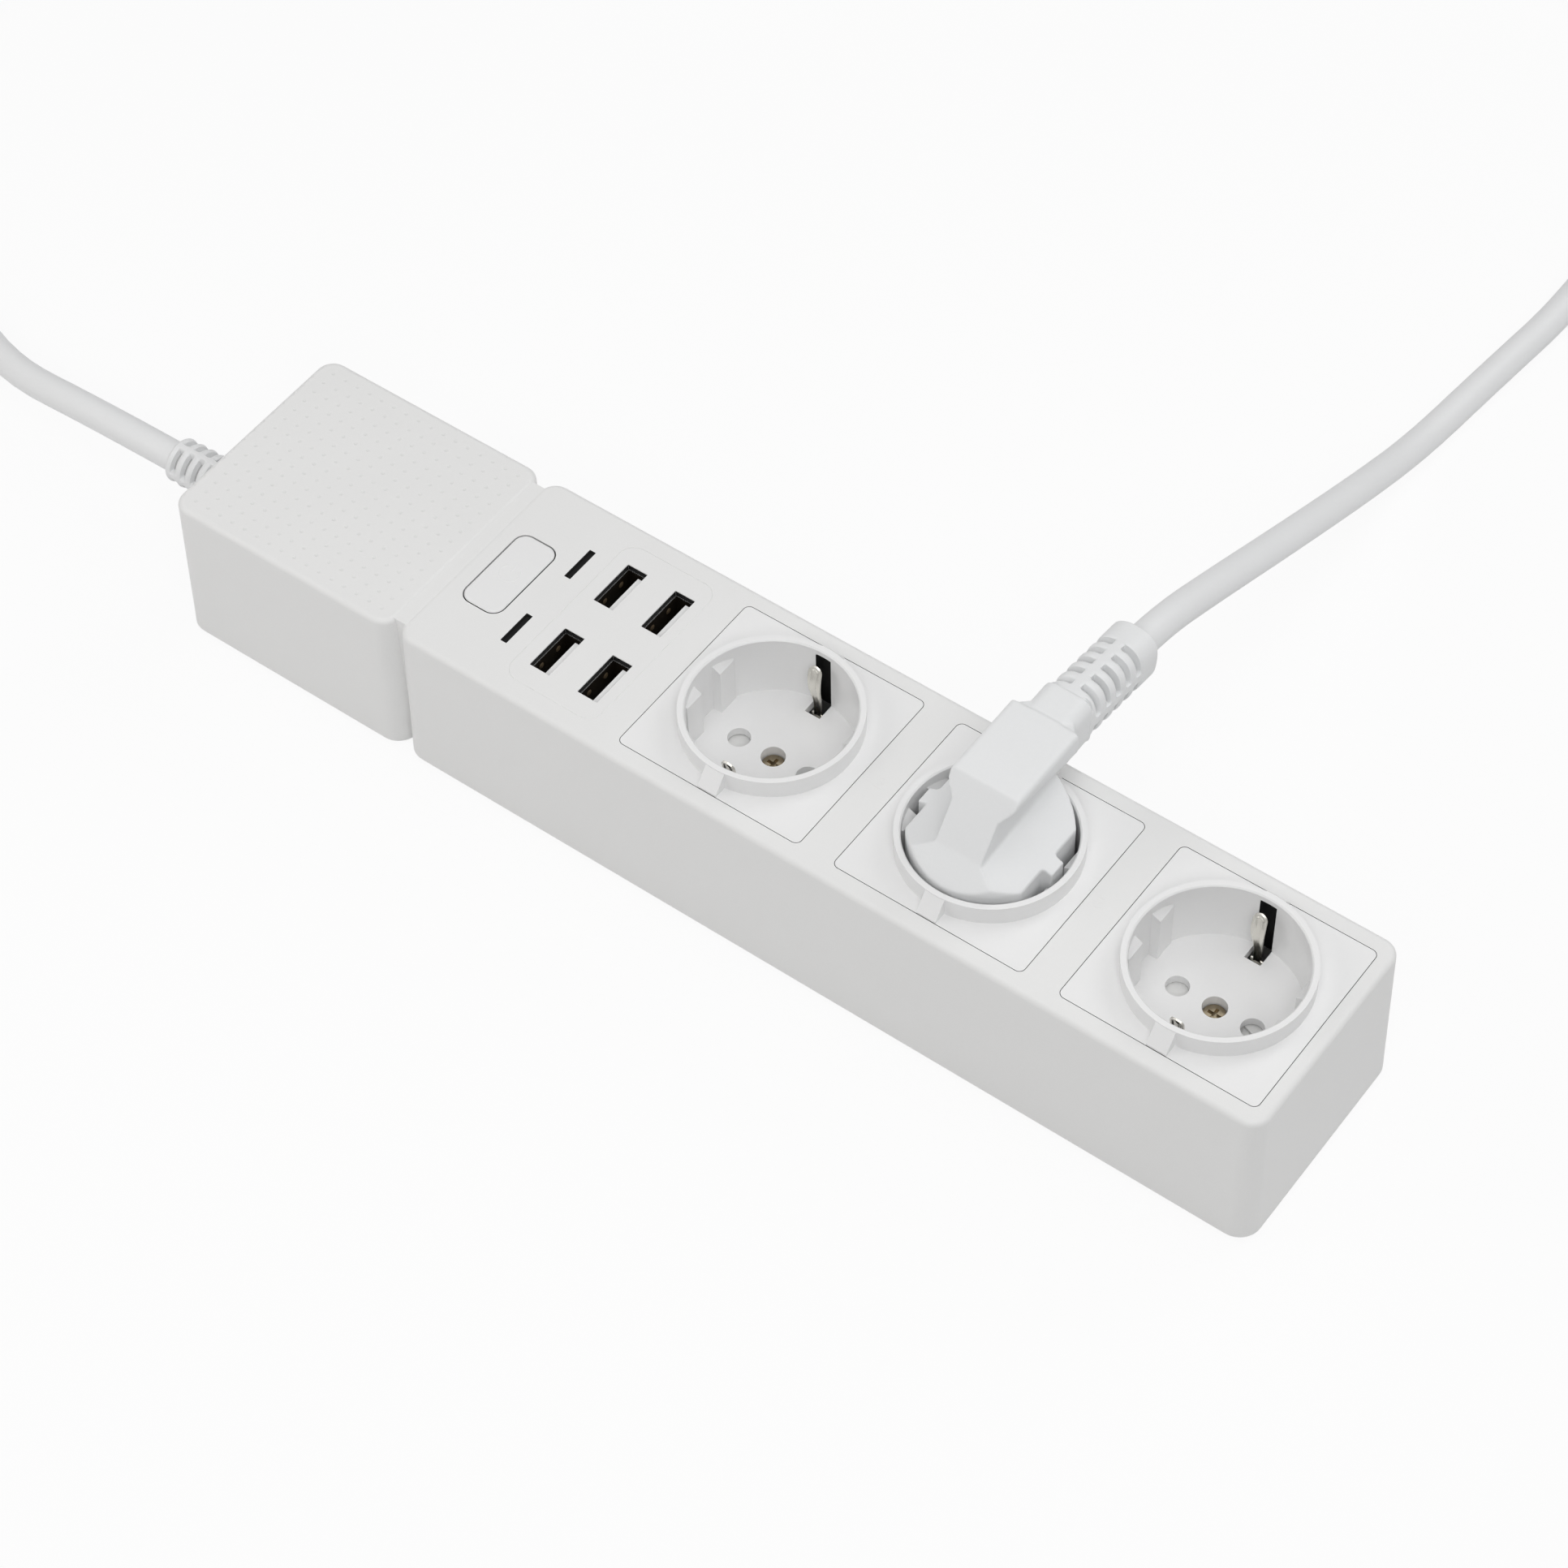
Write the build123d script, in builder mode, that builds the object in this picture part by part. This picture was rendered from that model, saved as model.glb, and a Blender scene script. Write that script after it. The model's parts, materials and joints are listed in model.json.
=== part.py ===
from build123d import *
import os
from math import atan2, cos, radians, sin, tan

os.makedirs("parts", exist_ok=True)

# Casing. +X runs towards the socket end, +Y away from the user, +Z up, floor at Z = 0.
strip_width = 59.6
body_height = 42.0
box_length = 67.35
bay_gap = 0.2
neck_width = 50.7
neck_step = 0.2
wall = 2.2
top_wall = 2.4
draft_angle = 1.43
corner_radius = 5.5
edge_radius = 1.4
base_thickness = 2.2
base_clearance = 0.2
passage_width = 38.0
passage_height = 33.0
foot_height = 1.0
foot_recess = 0.6
foot_length = 14.0
foot_width = 8.0
foot_clearance = 0.1
foot_inset = 9.8
foot_end_inset = 28.0
ledge_thickness = 1.8
ledge_overlap = 1.5
ledge_margin = 2.5

# Screws that hold the casing, the sockets and the cord clamp
boss_side = 7.0
boss_inset = 7.2
boss_left_inset = 10.0
boss_right_inset = 7.6
case_screw_radius = 1.25
case_screw_length = 15.0
case_head_radius = 2.7
case_head_height = 1.2
socket_screw_radius = 1.5
socket_screw_length = 18.0
socket_head_radius = 2.6
socket_head_height = 1.9
clamp_screw_radius = 1.3
clamp_screw_length = 14.0
clamp_head_radius = 2.3
clamp_head_height = 1.6
screw_clearance = 0.05
screw_end_room = 1.0
cross_width = 0.8
cross_length = 3.2
cross_depth = 0.9
screw_sides = 6

# Earthed socket, in the sizes of its standard
socket_count = 3
plate_gap = 9.25
plate_end_gap = 4.655
plate_length = 49.35
plate_width = 48.37
plate_radius = 1.5
plate_seam = 0.15
collar_height = 5.0
collar_wall = 1.6
collar_edge = 0.35
well_radius = 19.4
well_depth = 17.4
well_floor = 2.2
well_outer_sides = 12
ramp_width = 5.0
ramp_foot = 0.5
pin_spacing = 19.0
pin_radius = 2.4
pin_length = 19.0
pin_hole_radius = 2.7
pin_sides = 12
pin_tip = 1.0
slot_width = 4.15
slot_inner = 14.8
slot_outer = 21.2
slot_below_rim = 1.7
rib_near = 3.4
rib_far = 8.7
rib_face = 16.9
rib_below_rim = 3.8
rib_bevel = 1.7
hub_radius = 3.7
hub_drop = 6.4
screw_well_radius = 2.85
screw_seat_depth = 4.5

# Shutter that turns aside when both pins push in
shutter_thickness = 2.1
shutter_gap = 0.3
shutter_half_length = 13.0
shutter_half_width = 3.4
shutter_hub_radius = 6.0
shutter_running_gap = 0.05
shutter_open_angle = 42.0
shutter_step = 0.8
shutter_hub_sides = 12
shutter_step_start = 6.4
shutter_step_near = 1.4
shutter_step_far = 1.0

# Contacts, busbars and earth clips
leaf_thickness = 0.6
leaf_width = 6.0
leaf_gap = 0.05
leaf_below_floor = 4.4
strap_below_floor = 3.5
bridge_thickness = 0.8
bridge_below_pin = 0.6
contact_tab_reach = 8.0
bar_thickness = 0.8
bar_offset = 7.0
bar_lift = 1.8
bar_tail = 15.5
strap_thickness = 0.7
strap_width = 3.4
strap_ring_width = 1.9
strap_ring_gap = 0.4
strap_ring_sides = 8
earth_bar_near = 10.0
earth_bar_width = 4.0
earth_bar_tail = 4.0
finger_thickness = 0.5
finger_root = 17.0
finger_bulge = 15.5
finger_pressed = 18.6
finger_tip_lean = 0.9
finger_tip_below_rim = 2.3
finger_bulge_below_rim = 8.0

# Button, indicators and their board
button_inset = 11.6
button_length = 10.9
button_width = 23.5
button_radius = 3.0
button_clearance = 0.3
button_proud = 0.3
button_edge = 0.4
button_flange = 1.2
button_flange_thickness = 1.3
button_flange_gap = 0.3
button_stem_radius = 2.0
button_stem_length = 4.0
plunger_radius = 1.5
plunger_length = 2.8
plunger_travel = 0.6
switch_side = 6.2
switch_height = 3.2
switch_below_stem = 1.9
switch_clearance = 0.1
indicator_from_button = 11.35
indicator_spacing = 23.3
indicator_width = 1.74
indicator_length = 9.65
indicator_clearance = 0.1
indicator_recess = 0.5
indicator_rounding = 0.08
lens_flange = 1.0
lens_flange_thickness = 1.2
led_length = 4.0
led_height = 2.0
led_gap = 0.2
board_thickness = 1.6
board_post_side = 4.0
board_edge = 3.0
control_board_length = 21.5
control_board_width = 49.0
control_board_shift = 3.75

# USB outlets
usb_panel_from_button = 29.45
usb_plate_gap = 7.595
usb_panel_length = 25.6
usb_panel_width = 47.1
usb_panel_radius = 4.0
usb_panel_seam = 0.1
usb_pitch_x = 13.6
usb_pitch_y = 23.3
usb_shift = 0.4
usb_shell_length = 5.35
usb_shell_width = 12.8
usb_shell_wall = 0.3
usb_shell_height = 12.95
usb_shell_radius = 0.5
usb_recess = 1.4
usb_clearance = 0.1
tongue_thickness = 1.84
tongue_width = 10.6
tongue_back_gap = 0.5
tongue_recess = 0.5
tongue_root = 3.0
tongue_root_clearance = 0.15
contact_width = 1.0
contact_thickness = 0.15
contact_length = 8.0
contact_recess = 1.0
contact_count = 4
contact_spacing = 2.4
usb_board_length = 24.0
usb_board_width = 45.0

# Main board and what it carries
main_board_start = 18.55
main_board_width = 35.0
main_board_height = 4.8
main_board_inset = 6.0
main_post_half_spread = 12.5
relay_count = 3
relay_start = 3.7
relay_gap = 0.6
relay_width = 18.4
relay_height = 15.3
relay_offset = 8.0
transformer_start = 4.0
transformer_length = 14.0
transformer_width = 14.0
transformer_height = 13.0
can_radius = 3.0
can_height = 13.5
can_spread = 7.6
radio_inset = 3.6
radio_length = 11.0
radio_width = 14.0
radio_height = 2.6
fuse_radius = 2.3
fuse_length = 16.0
fuse_inset = 5.05
fuse_gap = 0.05
part_row = 9.7
part_sides = 8

# Cord, its relief and its clamp
cord_radius = 3.9
cord_height = 15.2
cord_inner_end = 12.5
core_radius = 1.1
core_spread = 1.9
core_lift = 0.7
lane_room = 2.2
lead_inset = 1.5
lead_gap = 0.4
lead_sides = 6
lead_turn = 3.5
lead_rise = 6.0
lead_dive = 8.0
live_end_inset = 1.9
earth_lane = -6.0
earth_rise_start = 12.0
earth_rise_end = 6.0
cord_sides = 8
relief_length = 26.0
relief_root_radius = 6.5
relief_tip_radius = 5.65
relief_core_radius = 4.9
relief_flange_radius = 9.0
relief_flange = 2.0
relief_clearance = 0.05
relief_pitch = 3.3
relief_slot = 1.5
relief_rows = 7
relief_cap = 1.65
relief_bridge = 2.0
relief_sides = 16
clamp_length = 6.0
clamp_width = 21.0
clamp_roof = 2.4
clamp_clearance = 0.1
clamp_screw_spread = 15.0
clamp_from_end = 5.5

# Mains plug
plug_radius = 18.4
plug_shoulder = 17.4
plug_crown = 24.8
plug_flank_fall = 0.43
plug_near_rise = 0.93
notch_inner = 15.2
notch_near = 2.3
notch_far = 10.6
tab_reach = 17.5
handle_half_width = 8.8
handle_waist = 5.8
handle_waist_height = 22.0
handle_cove = 4.3
handle_cove_height = 26.2
handle_shelf_height = 30.9
handle_block_rise = 5.8
handle_near = -2.5
handle_far = 20.1
handle_foot = -13.0
handle_foot_height = 22.2
handle_web_far = 17.0
handle_shelf_chamfer = 2.2
handle_edge = 1.2
neck_start = 24.4
neck_span = 12.4
neck_tall = 13.6
neck_drop = 7.3
neck_corner = 3.2
tail_start = 29.2
tail_end = 55.4
tail_drop = 8.0
tail_fall = 0.152
tail_span = 12.6
tail_tall = 14.0
tail_corner = 3.4
tail_depth = 2.0
tail_pitch = 4.04
tail_slot = 1.9
tail_rows = 5
tail_first = 1.5
tail_bridge = 2.4
earth_strip_width = 4.4
earth_strip_height = 13.2
earth_strip_thickness = 0.6
earth_strip_depth = 0.8
earth_strip_clearance = 0.1
earth_strip_lift = 1.0
cut_margin = 1.0

# Spare cord, tied in a coil
coil_centre = (-207.4, 272.2)
coil_radius = 43.0
coil_half_width = 4.4
coil_sides = 24
coil_bottom = 0.9
coil_top = 20.4
coil_exit_drop = 1.4
coil_in_heading = 26.0
coil_out_heading = 37.0
tie_thickness = 0.8
tie_width = 8.0
tie_clearance = 0.6
cord_first_run = 11.0

# Heights and places that follow from the sizes above
base_z = foot_height
base_top = base_z + base_thickness
top_z = base_z + body_height
ceiling_z = top_z - top_wall
rim_z = top_z + collar_height
floor_z = rim_z - well_depth
floor_under = floor_z - well_floor
hub_end = floor_under - hub_drop
shutter_top = floor_under - shutter_gap
shutter_bottom = shutter_top - shutter_thickness
strap_bottom = floor_under - strap_below_floor
leaf_top = floor_under - leaf_below_floor
bridge_top = floor_z - pin_length - bridge_below_pin
bridge_bottom = bridge_top - bridge_thickness
bar_bottom = base_top + bar_lift
screw_seat = floor_z - screw_seat_depth
socket_pitch = plate_length + plate_gap
last_socket_inset = plate_length / 2 + plate_end_gap
first_socket_from_button = usb_panel_from_button + (usb_panel_length + plate_length) / 2 + usb_plate_gap
sockets_length = socket_pitch * (socket_count - 1) + last_socket_inset
strip_length = box_length + button_inset + first_socket_from_button + sockets_length
left_end = -strip_length / 2
right_end = strip_length / 2
neck_x = left_end + box_length
bays = [(left_end, neck_x - bay_gap / 2), (neck_x + bay_gap / 2, right_end)]
top_inset = body_height * tan(radians(draft_angle))
neck_reach = bay_gap / 2 + top_inset + edge_radius + wall
inner_half = strip_width / 2 - top_inset - wall
inner_left = left_end + top_inset + wall
rooms = [(start + top_inset + wall, end - top_inset - wall) for start, end in bays]
last_socket_x = right_end - last_socket_inset
socket_xs = [last_socket_x - socket_pitch * (socket_count - 1 - k) for k in range(socket_count)]
plug_x = socket_xs[1]
button_x = neck_x + button_inset
indicator_x = button_x + indicator_from_button
indicator_ys = [-indicator_spacing / 2, indicator_spacing / 2]
usb_panel_x = button_x + usb_panel_from_button
usb_xs = [usb_panel_x + usb_shift - usb_pitch_x / 2, usb_panel_x + usb_shift + usb_pitch_x / 2]
usb_points = [(x, y) for x in usb_xs for y in (-usb_pitch_y / 2, usb_pitch_y / 2)]
boss_y = strip_width / 2 - boss_inset
boss_xs = [left_end + boss_left_inset, (socket_xs[0] + socket_xs[1]) / 2, right_end - boss_right_inset]
boss_points = [(x, side * boss_y) for x in boss_xs for side in (-1, 1)]
foot_xs = [left_end + foot_end_inset, (socket_xs[0] + usb_panel_x) / 2, right_end - foot_end_inset]
foot_points = [(x, side * (strip_width / 2 - foot_inset)) for x in foot_xs for side in (-1, 1)]

# Heights of the stack under the button
button_top = top_z + button_proud
button_flange_top = ceiling_z - button_flange_gap
button_flange_bottom = button_flange_top - button_flange_thickness
stem_bottom = button_flange_bottom - button_stem_length
plunger_bottom = stem_bottom - plunger_length
switch_top = stem_bottom - switch_below_stem
control_board_top = switch_top - switch_height
control_board_x = button_x + control_board_shift
usb_top = top_z - usb_recess
usb_board_top = usb_top - usb_shell_height
main_board_bottom = base_top + main_board_height
main_board_top = main_board_bottom + board_thickness
main_board_right = neck_x - main_board_inset
main_board_left = left_end + main_board_start
main_board_length = main_board_right - main_board_left
main_board_x = (main_board_left + main_board_right) / 2
main_posts = (main_board_x, main_board_length / 2 - board_edge, main_post_half_spread)
control_posts = (control_board_x, control_board_length / 2 - board_edge, control_board_width / 2 - board_edge)
usb_posts = (usb_panel_x, usb_board_length / 2 - board_edge, usb_board_width / 2 - board_edge)
clamp_x = left_end + clamp_from_end + clamp_length / 2
cord_room = cord_radius + clamp_clearance
clamp_seat = cord_height - cord_room
clamp_top = cord_height + cord_room + clamp_roof


def save(builder, name):
    """Label a finished piece and write it to its own file."""
    builder.part.label = name
    export_step(builder.part, f"parts/{name}.step")


def slab(length, width, radius, bottom, top, x=0.0, y=0.0, mode=Mode.ADD):
    """Upright block with rounded corners between two heights."""
    with BuildSketch(Plane.XY.offset(bottom)) as outline:
        with Locations((x, y)):
            RectangleRounded(length, width, radius)
    extrude(outline.sketch, amount=top - bottom, mode=mode)


def disc(radius, bottom, top, x=0.0, y=0.0, mode=Mode.ADD):
    """Upright cylinder between two heights."""
    with Locations((x, y, bottom)):
        Cylinder(radius, top - bottom, align=(Align.CENTER, Align.CENTER, Align.MIN), mode=mode)


def stud(sides, radius, bottom, top, x=0.0, y=0.0, mode=Mode.ADD):
    """Upright many-sided bar between two heights."""
    with BuildSketch(Plane.XY.offset(bottom)) as outline:
        with Locations((x, y)):
            RegularPolygon(radius, sides)
    extrude(outline.sketch, amount=top - bottom, mode=mode)


def brick(low, high, mode=Mode.ADD):
    """Plain block between two opposite corners."""
    size = Vector(high) - Vector(low)
    with Locations(low):
        Box(size.X, size.Y, size.Z, align=(Align.MIN, Align.MIN, Align.MIN), mode=mode)


def board(length, width, bottom, top, x, y=0.0):
    """Plain upright block around a point."""
    brick((x - length / 2, y - width / 2, bottom), (x + length / 2, y + width / 2, top))


def cross_recess(x, y, top):
    """Cross-shaped driver recess in a screw head."""
    for length, width in ((cross_length, cross_width), (cross_width, cross_length)):
        half_length = length / 2
        half_width = width / 2
        low = (x - half_length, y - half_width, top - cross_depth)
        brick(low, (x + half_length, y + half_width, top), mode=Mode.SUBTRACT)


def bend_radii(points):
    """Largest arcs that the runs of a cord's route leave room for."""
    radii = []
    for before, here, after in zip(points, points[1:], points[2:]):
        run_in = Vector(here) - Vector(before)
        run_out = Vector(after) - Vector(here)
        half_turn = radians(run_in.get_angle(run_out)) / 2
        radii.append(0.45 * min(run_in.length, run_out.length) / tan(half_turn))
    return radii


def tube(points, radii):
    """Piece of cord along straight runs joined by tangent arcs."""
    with BuildLine() as route:
        FilletPolyline(*points, radius=radii)
    with BuildSketch(Plane(origin=points[0], z_dir=Vector(points[1]) - Vector(points[0]))) as section:
        RegularPolygon(cord_radius, cord_sides)
    sweep(section.sketch, path=route.wire())
    return route.wire().length, section.sketch.area


def lead(points):
    """Insulated lead along straight runs with mitred turns."""
    with BuildLine() as route:
        Polyline(*points)
    with BuildSketch(Plane(origin=points[0], z_dir=Vector(points[1]) - Vector(points[0]))) as section:
        RegularPolygon(core_radius, lead_sides)
    sweep(section.sketch, path=route.wire(), transition=Transition.RIGHT)


# Top housing: two bays with moulding draft, joined by a narrow neck
with BuildPart() as top_housing:
    with BuildSketch(Plane.XY.offset(base_z)):
        for start, end in bays:
            with Locations(((start + end) / 2, 0)):
                RectangleRounded(end - start, strip_width, corner_radius)
    extrude(amount=body_height, taper=draft_angle)
    fillet(top_housing.faces().group_by(Axis.Z)[-1].edges(), edge_radius)
    brick(
        (neck_x - neck_reach, -neck_width / 2, base_z),
        (neck_x + neck_reach, neck_width / 2, top_z - neck_step),
    )
    for start, end in rooms:
        brick((start, -inner_half, base_z), (end, inner_half, ceiling_z), mode=Mode.SUBTRACT)
    brick(
        (neck_x - neck_reach, -passage_width / 2, base_z),
        (neck_x + neck_reach, passage_width / 2, base_z + passage_height),
        mode=Mode.SUBTRACT,
    )
    for x, y in boss_points:
        board(boss_side, boss_side, base_top, ceiling_z, x, y)
    insets = [(x, plate_length, plate_width, plate_radius, plate_seam) for x in socket_xs]
    insets.append((usb_panel_x, usb_panel_length, usb_panel_width, usb_panel_radius, usb_panel_seam))
    for x, length, width, radius, seam in insets:
        reach = length / 2 + ledge_margin
        gap_x = length / 2 - ledge_overlap
        gap_y = width / 2 - ledge_overlap
        shelf = ceiling_z - ledge_thickness
        brick((x - reach, -inner_half, shelf), (x + reach, inner_half, ceiling_z))
        brick((x - gap_x, -gap_y, shelf), (x + gap_x, gap_y, ceiling_z), mode=Mode.SUBTRACT)
        slab(
            length + 2 * seam, width + 2 * seam, radius + seam, ceiling_z, top_z, x, mode=Mode.SUBTRACT
        )
    slab(
        button_length + 2 * button_clearance,
        button_width + 2 * button_clearance,
        button_radius + button_clearance,
        ceiling_z,
        top_z,
        button_x,
        mode=Mode.SUBTRACT,
    )
    for y in indicator_ys:
        slab(
            indicator_width,
            indicator_length,
            indicator_rounding * indicator_width,
            ceiling_z,
            top_z,
            indicator_x,
            y,
            mode=Mode.SUBTRACT,
        )
    for x, y in boss_points:
        hole_top = base_top + case_screw_length + screw_end_room
        hole_radius = case_screw_radius + screw_clearance
        stud(screw_sides, hole_radius, base_top, hole_top, x, y, mode=Mode.SUBTRACT)
    with BuildSketch(Plane.YZ.offset(left_end)):
        with Locations((0, cord_height)):
            Circle(relief_root_radius + relief_clearance)
    extrude(amount=wall + 2 * top_inset, mode=Mode.SUBTRACT)
save(top_housing, "top_housing")

# Base cover: closes the housing from below and carries the sockets, boards and clamp
with BuildPart() as base_cover:
    cover_half = inner_half - base_clearance
    for start, end in rooms:
        brick((start + base_clearance, -cover_half, base_z), (end - base_clearance, cover_half, base_top))
    tongue_half = passage_width / 2 - base_clearance
    brick((neck_x - neck_reach, -tongue_half, base_z), (neck_x + neck_reach, tongue_half, base_top))
    for x in socket_xs:
        board(2 * hub_radius, 2 * hub_radius, base_top, hub_end, x)
        for side in (-1, 1):
            pin_x = x + side * pin_spacing / 2
            half = leaf_width / 2
            brick((pin_x - half, -half, base_top), (pin_x + half, half, bridge_bottom))
    for (centre, half_x, half_y), post_top in (
        (main_posts, main_board_bottom),
        (control_posts, control_board_top - board_thickness),
        (usb_posts, usb_board_top - board_thickness),
    ):
        for side_x in (-1, 1):
            for side_y in (-1, 1):
                x = centre + side_x * half_x
                board(board_post_side, board_post_side, base_top, post_top, x, side_y * half_y)
    brick(
        (clamp_x - clamp_length / 2, -clamp_width / 2, base_top),
        (clamp_x + clamp_length / 2, clamp_width / 2, clamp_seat),
    )
    for x in socket_xs:
        hole_bottom = screw_seat - socket_screw_length - screw_end_room
        hole_radius = socket_screw_radius + screw_clearance
        stud(screw_sides, hole_radius, hole_bottom, hub_end, x, mode=Mode.SUBTRACT)
    for side in (-1, 1):
        hole_bottom = clamp_top - clamp_screw_length - 0.5 * screw_end_room
        y = side * clamp_screw_spread / 2
        hole_radius = clamp_screw_radius + screw_clearance
        stud(screw_sides, hole_radius, hole_bottom, clamp_seat, clamp_x, y, mode=Mode.SUBTRACT)
    for x, y in boss_points:
        hole_radius = case_screw_radius + screw_clearance
        stud(screw_sides, hole_radius, base_z, base_top, x, y, mode=Mode.SUBTRACT)
        sink_radius = case_head_radius + screw_clearance
        stud(screw_sides, sink_radius, base_z, base_z + case_head_height, x, y, mode=Mode.SUBTRACT)
    for x, y in foot_points:
        half_x = foot_length / 2 + foot_clearance
        half_y = foot_width / 2 + foot_clearance
        brick(
            (x - half_x, y - half_y, base_z),
            (x + half_x, y + half_y, base_z + foot_recess),
            mode=Mode.SUBTRACT,
        )
save(base_cover, "base_cover")

with BuildPart() as case_screws:
    for x, y in boss_points:
        head_top = base_z + case_head_height
        stud(screw_sides, case_head_radius, base_z, head_top, x, y)
        stud(screw_sides, case_screw_radius, head_top, base_top + case_screw_length, x, y)
save(case_screws, "case_screws")

with BuildPart() as rubber_feet:
    for x, y in foot_points:
        board(foot_length, foot_width, 0, base_z + foot_recess, x, y)
save(rubber_feet, "rubber_feet")


# Socket inserts: plate, raised collar with a ramp on two sides, well, guide ribs and earth slots
rib_back = well_radius + collar_wall / 2


def rib_outline(x, side):
    """Bevelled profile of a guide rib, drawn in the XZ plane."""
    face = x + side * rib_face
    back = x + side * rib_back
    face_top = rim_z - rib_below_rim
    return [(face, floor_under), (face, face_top), (back, face_top + rib_bevel), (back, floor_under)]


for number, x in enumerate(socket_xs, start=1):
    collar_radius = well_radius + collar_wall
    with BuildPart() as guide_ribs:
        for side in (-1, 1):
            for near, far in ((rib_near, rib_far), (-rib_far, -rib_near)):
                with BuildSketch(Plane.XZ.offset(-far)):
                    with BuildLine():
                        Polyline(*rib_outline(x, side), close=True)
                    make_face()
                extrude(amount=far - near)
        disc(rib_back, floor_under, rim_z, x, mode=Mode.INTERSECT)
    with BuildPart() as socket_insert:
        slab(plate_length, plate_width, plate_radius, ceiling_z, top_z, x)
        disc(collar_radius, top_z, rim_z, x)
        stud(well_outer_sides, collar_radius, floor_under, ceiling_z, x)
        for side in (-1, 1):
            with BuildSketch(Plane.YZ.offset(x - ramp_width / 2)):
                with BuildLine():
                    Polyline(
                        (side * well_radius, top_z),
                        (side * well_radius, rim_z),
                        (side * (collar_radius - collar_edge), rim_z),
                        (side * plate_width / 2, top_z + ramp_foot),
                        (side * plate_width / 2, top_z),
                        close=True,
                    )
                make_face()
            extrude(amount=ramp_width)
        disc(well_radius, floor_z, rim_z, x, mode=Mode.SUBTRACT)
        rim_edges = socket_insert.faces().group_by(Axis.Z)[-1].edges()
        chamfer(rim_edges.filter_by(GeomType.CIRCLE).group_by(SortBy.RADIUS)[0], collar_edge)
        disc(hub_radius, hub_end, floor_under, x)
        add(guide_ribs.part)
        for side in (-1, 1):
            disc(pin_hole_radius, floor_under, floor_z, x + side * pin_spacing / 2, mode=Mode.SUBTRACT)
        disc(screw_well_radius, screw_seat, floor_z, x, mode=Mode.SUBTRACT)
        hole_radius = socket_screw_radius + screw_clearance
        stud(screw_sides, hole_radius, hub_end, screw_seat, x, mode=Mode.SUBTRACT)
        for near, far in ((slot_inner, slot_outer), (-slot_outer, -slot_inner)):
            brick(
                (x - slot_width / 2, near, floor_under),
                (x + slot_width / 2, far, rim_z - slot_below_rim),
                mode=Mode.SUBTRACT,
            )
    save(socket_insert, f"socket_insert_{number}")

with BuildPart() as socket_screws:
    for x in socket_xs:
        disc(socket_head_radius, screw_seat, screw_seat + socket_head_height, x)
        stud(screw_sides, socket_screw_radius, screw_seat - socket_screw_length, screw_seat, x)
    for x in socket_xs:
        cross_recess(x, 0, screw_seat + socket_head_height)
save(socket_screws, "socket_screws")

# Shutters: the middle one stands open, held aside by the plug's pins
for number, x in enumerate(socket_xs, start=1):
    turn = shutter_open_angle if x == plug_x else 0.0
    shutter_plane = Plane(origin=(x, 0, shutter_bottom), x_dir=(cos(radians(turn)), sin(radians(turn)), 0))
    with BuildPart() as shutter:
        with BuildSketch(shutter_plane):
            Rectangle(2 * shutter_half_length, 2 * shutter_half_width)
            RegularPolygon(shutter_hub_radius, shutter_hub_sides)
            Circle(hub_radius + shutter_running_gap, mode=Mode.SUBTRACT)
        extrude(amount=shutter_thickness)
        with BuildSketch(shutter_plane.offset(shutter_thickness - shutter_step)):
            with PolarLocations(0, 2):
                with BuildLine():
                    Polyline(
                        (shutter_step_start, -shutter_half_width),
                        (shutter_half_length, -shutter_half_width),
                        (shutter_half_length, -shutter_step_far),
                        (shutter_step_start, shutter_step_near),
                        close=True,
                    )
                make_face()
        extrude(amount=shutter_step, mode=Mode.SUBTRACT)
    save(shutter, f"shutter_{number}")


# Sprung leaves that grip one pin, standing on a bridge plate
def pin_leaves(pin_x):
    """Bridge plate under a pin with a leaf on each side of it."""
    half = leaf_width / 2
    inner = pin_radius + leaf_gap
    outer = inner + leaf_thickness
    brick((pin_x - half, -outer, bridge_bottom), (pin_x + half, outer, bridge_top))
    for low, high in ((-outer, -inner), (inner, outer)):
        brick((pin_x - half, low, bridge_top), (pin_x + half, high, leaf_top))


for number, x in enumerate(socket_xs, start=1):
    with BuildPart() as line_contact:
        pin_x = x - pin_spacing / 2
        pin_leaves(pin_x)
        brick(
            (pin_x - leaf_width / 2, -contact_tab_reach, bridge_bottom),
            (pin_x + leaf_width / 2, -pin_radius, bridge_top),
        )
    save(line_contact, f"line_contact_{number}")

with BuildPart() as neutral_busbar:
    bar_start = socket_xs[0] + pin_spacing / 2 - bar_tail
    bar_end = socket_xs[-1] + pin_spacing / 2 + leaf_width / 2
    brick((bar_start, bar_offset, bar_bottom), (bar_end, bar_offset + bar_thickness, bridge_top))
    for x in socket_xs:
        pin_x = x + pin_spacing / 2
        pin_leaves(pin_x)
        brick(
            (pin_x - leaf_width / 2, pin_radius, bridge_bottom),
            (pin_x + leaf_width / 2, bar_offset, bridge_top),
        )
save(neutral_busbar, "neutral_busbar")

with BuildPart() as earth_busbar:
    earth_bar_start = socket_xs[0] - strap_width / 2 - earth_bar_tail
    brick(
        (earth_bar_start, -earth_bar_near - earth_bar_width, strap_bottom - bar_thickness),
        (socket_xs[-1] + strap_width / 2, -earth_bar_near, strap_bottom),
    )
save(earth_busbar, "earth_busbar")


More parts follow.
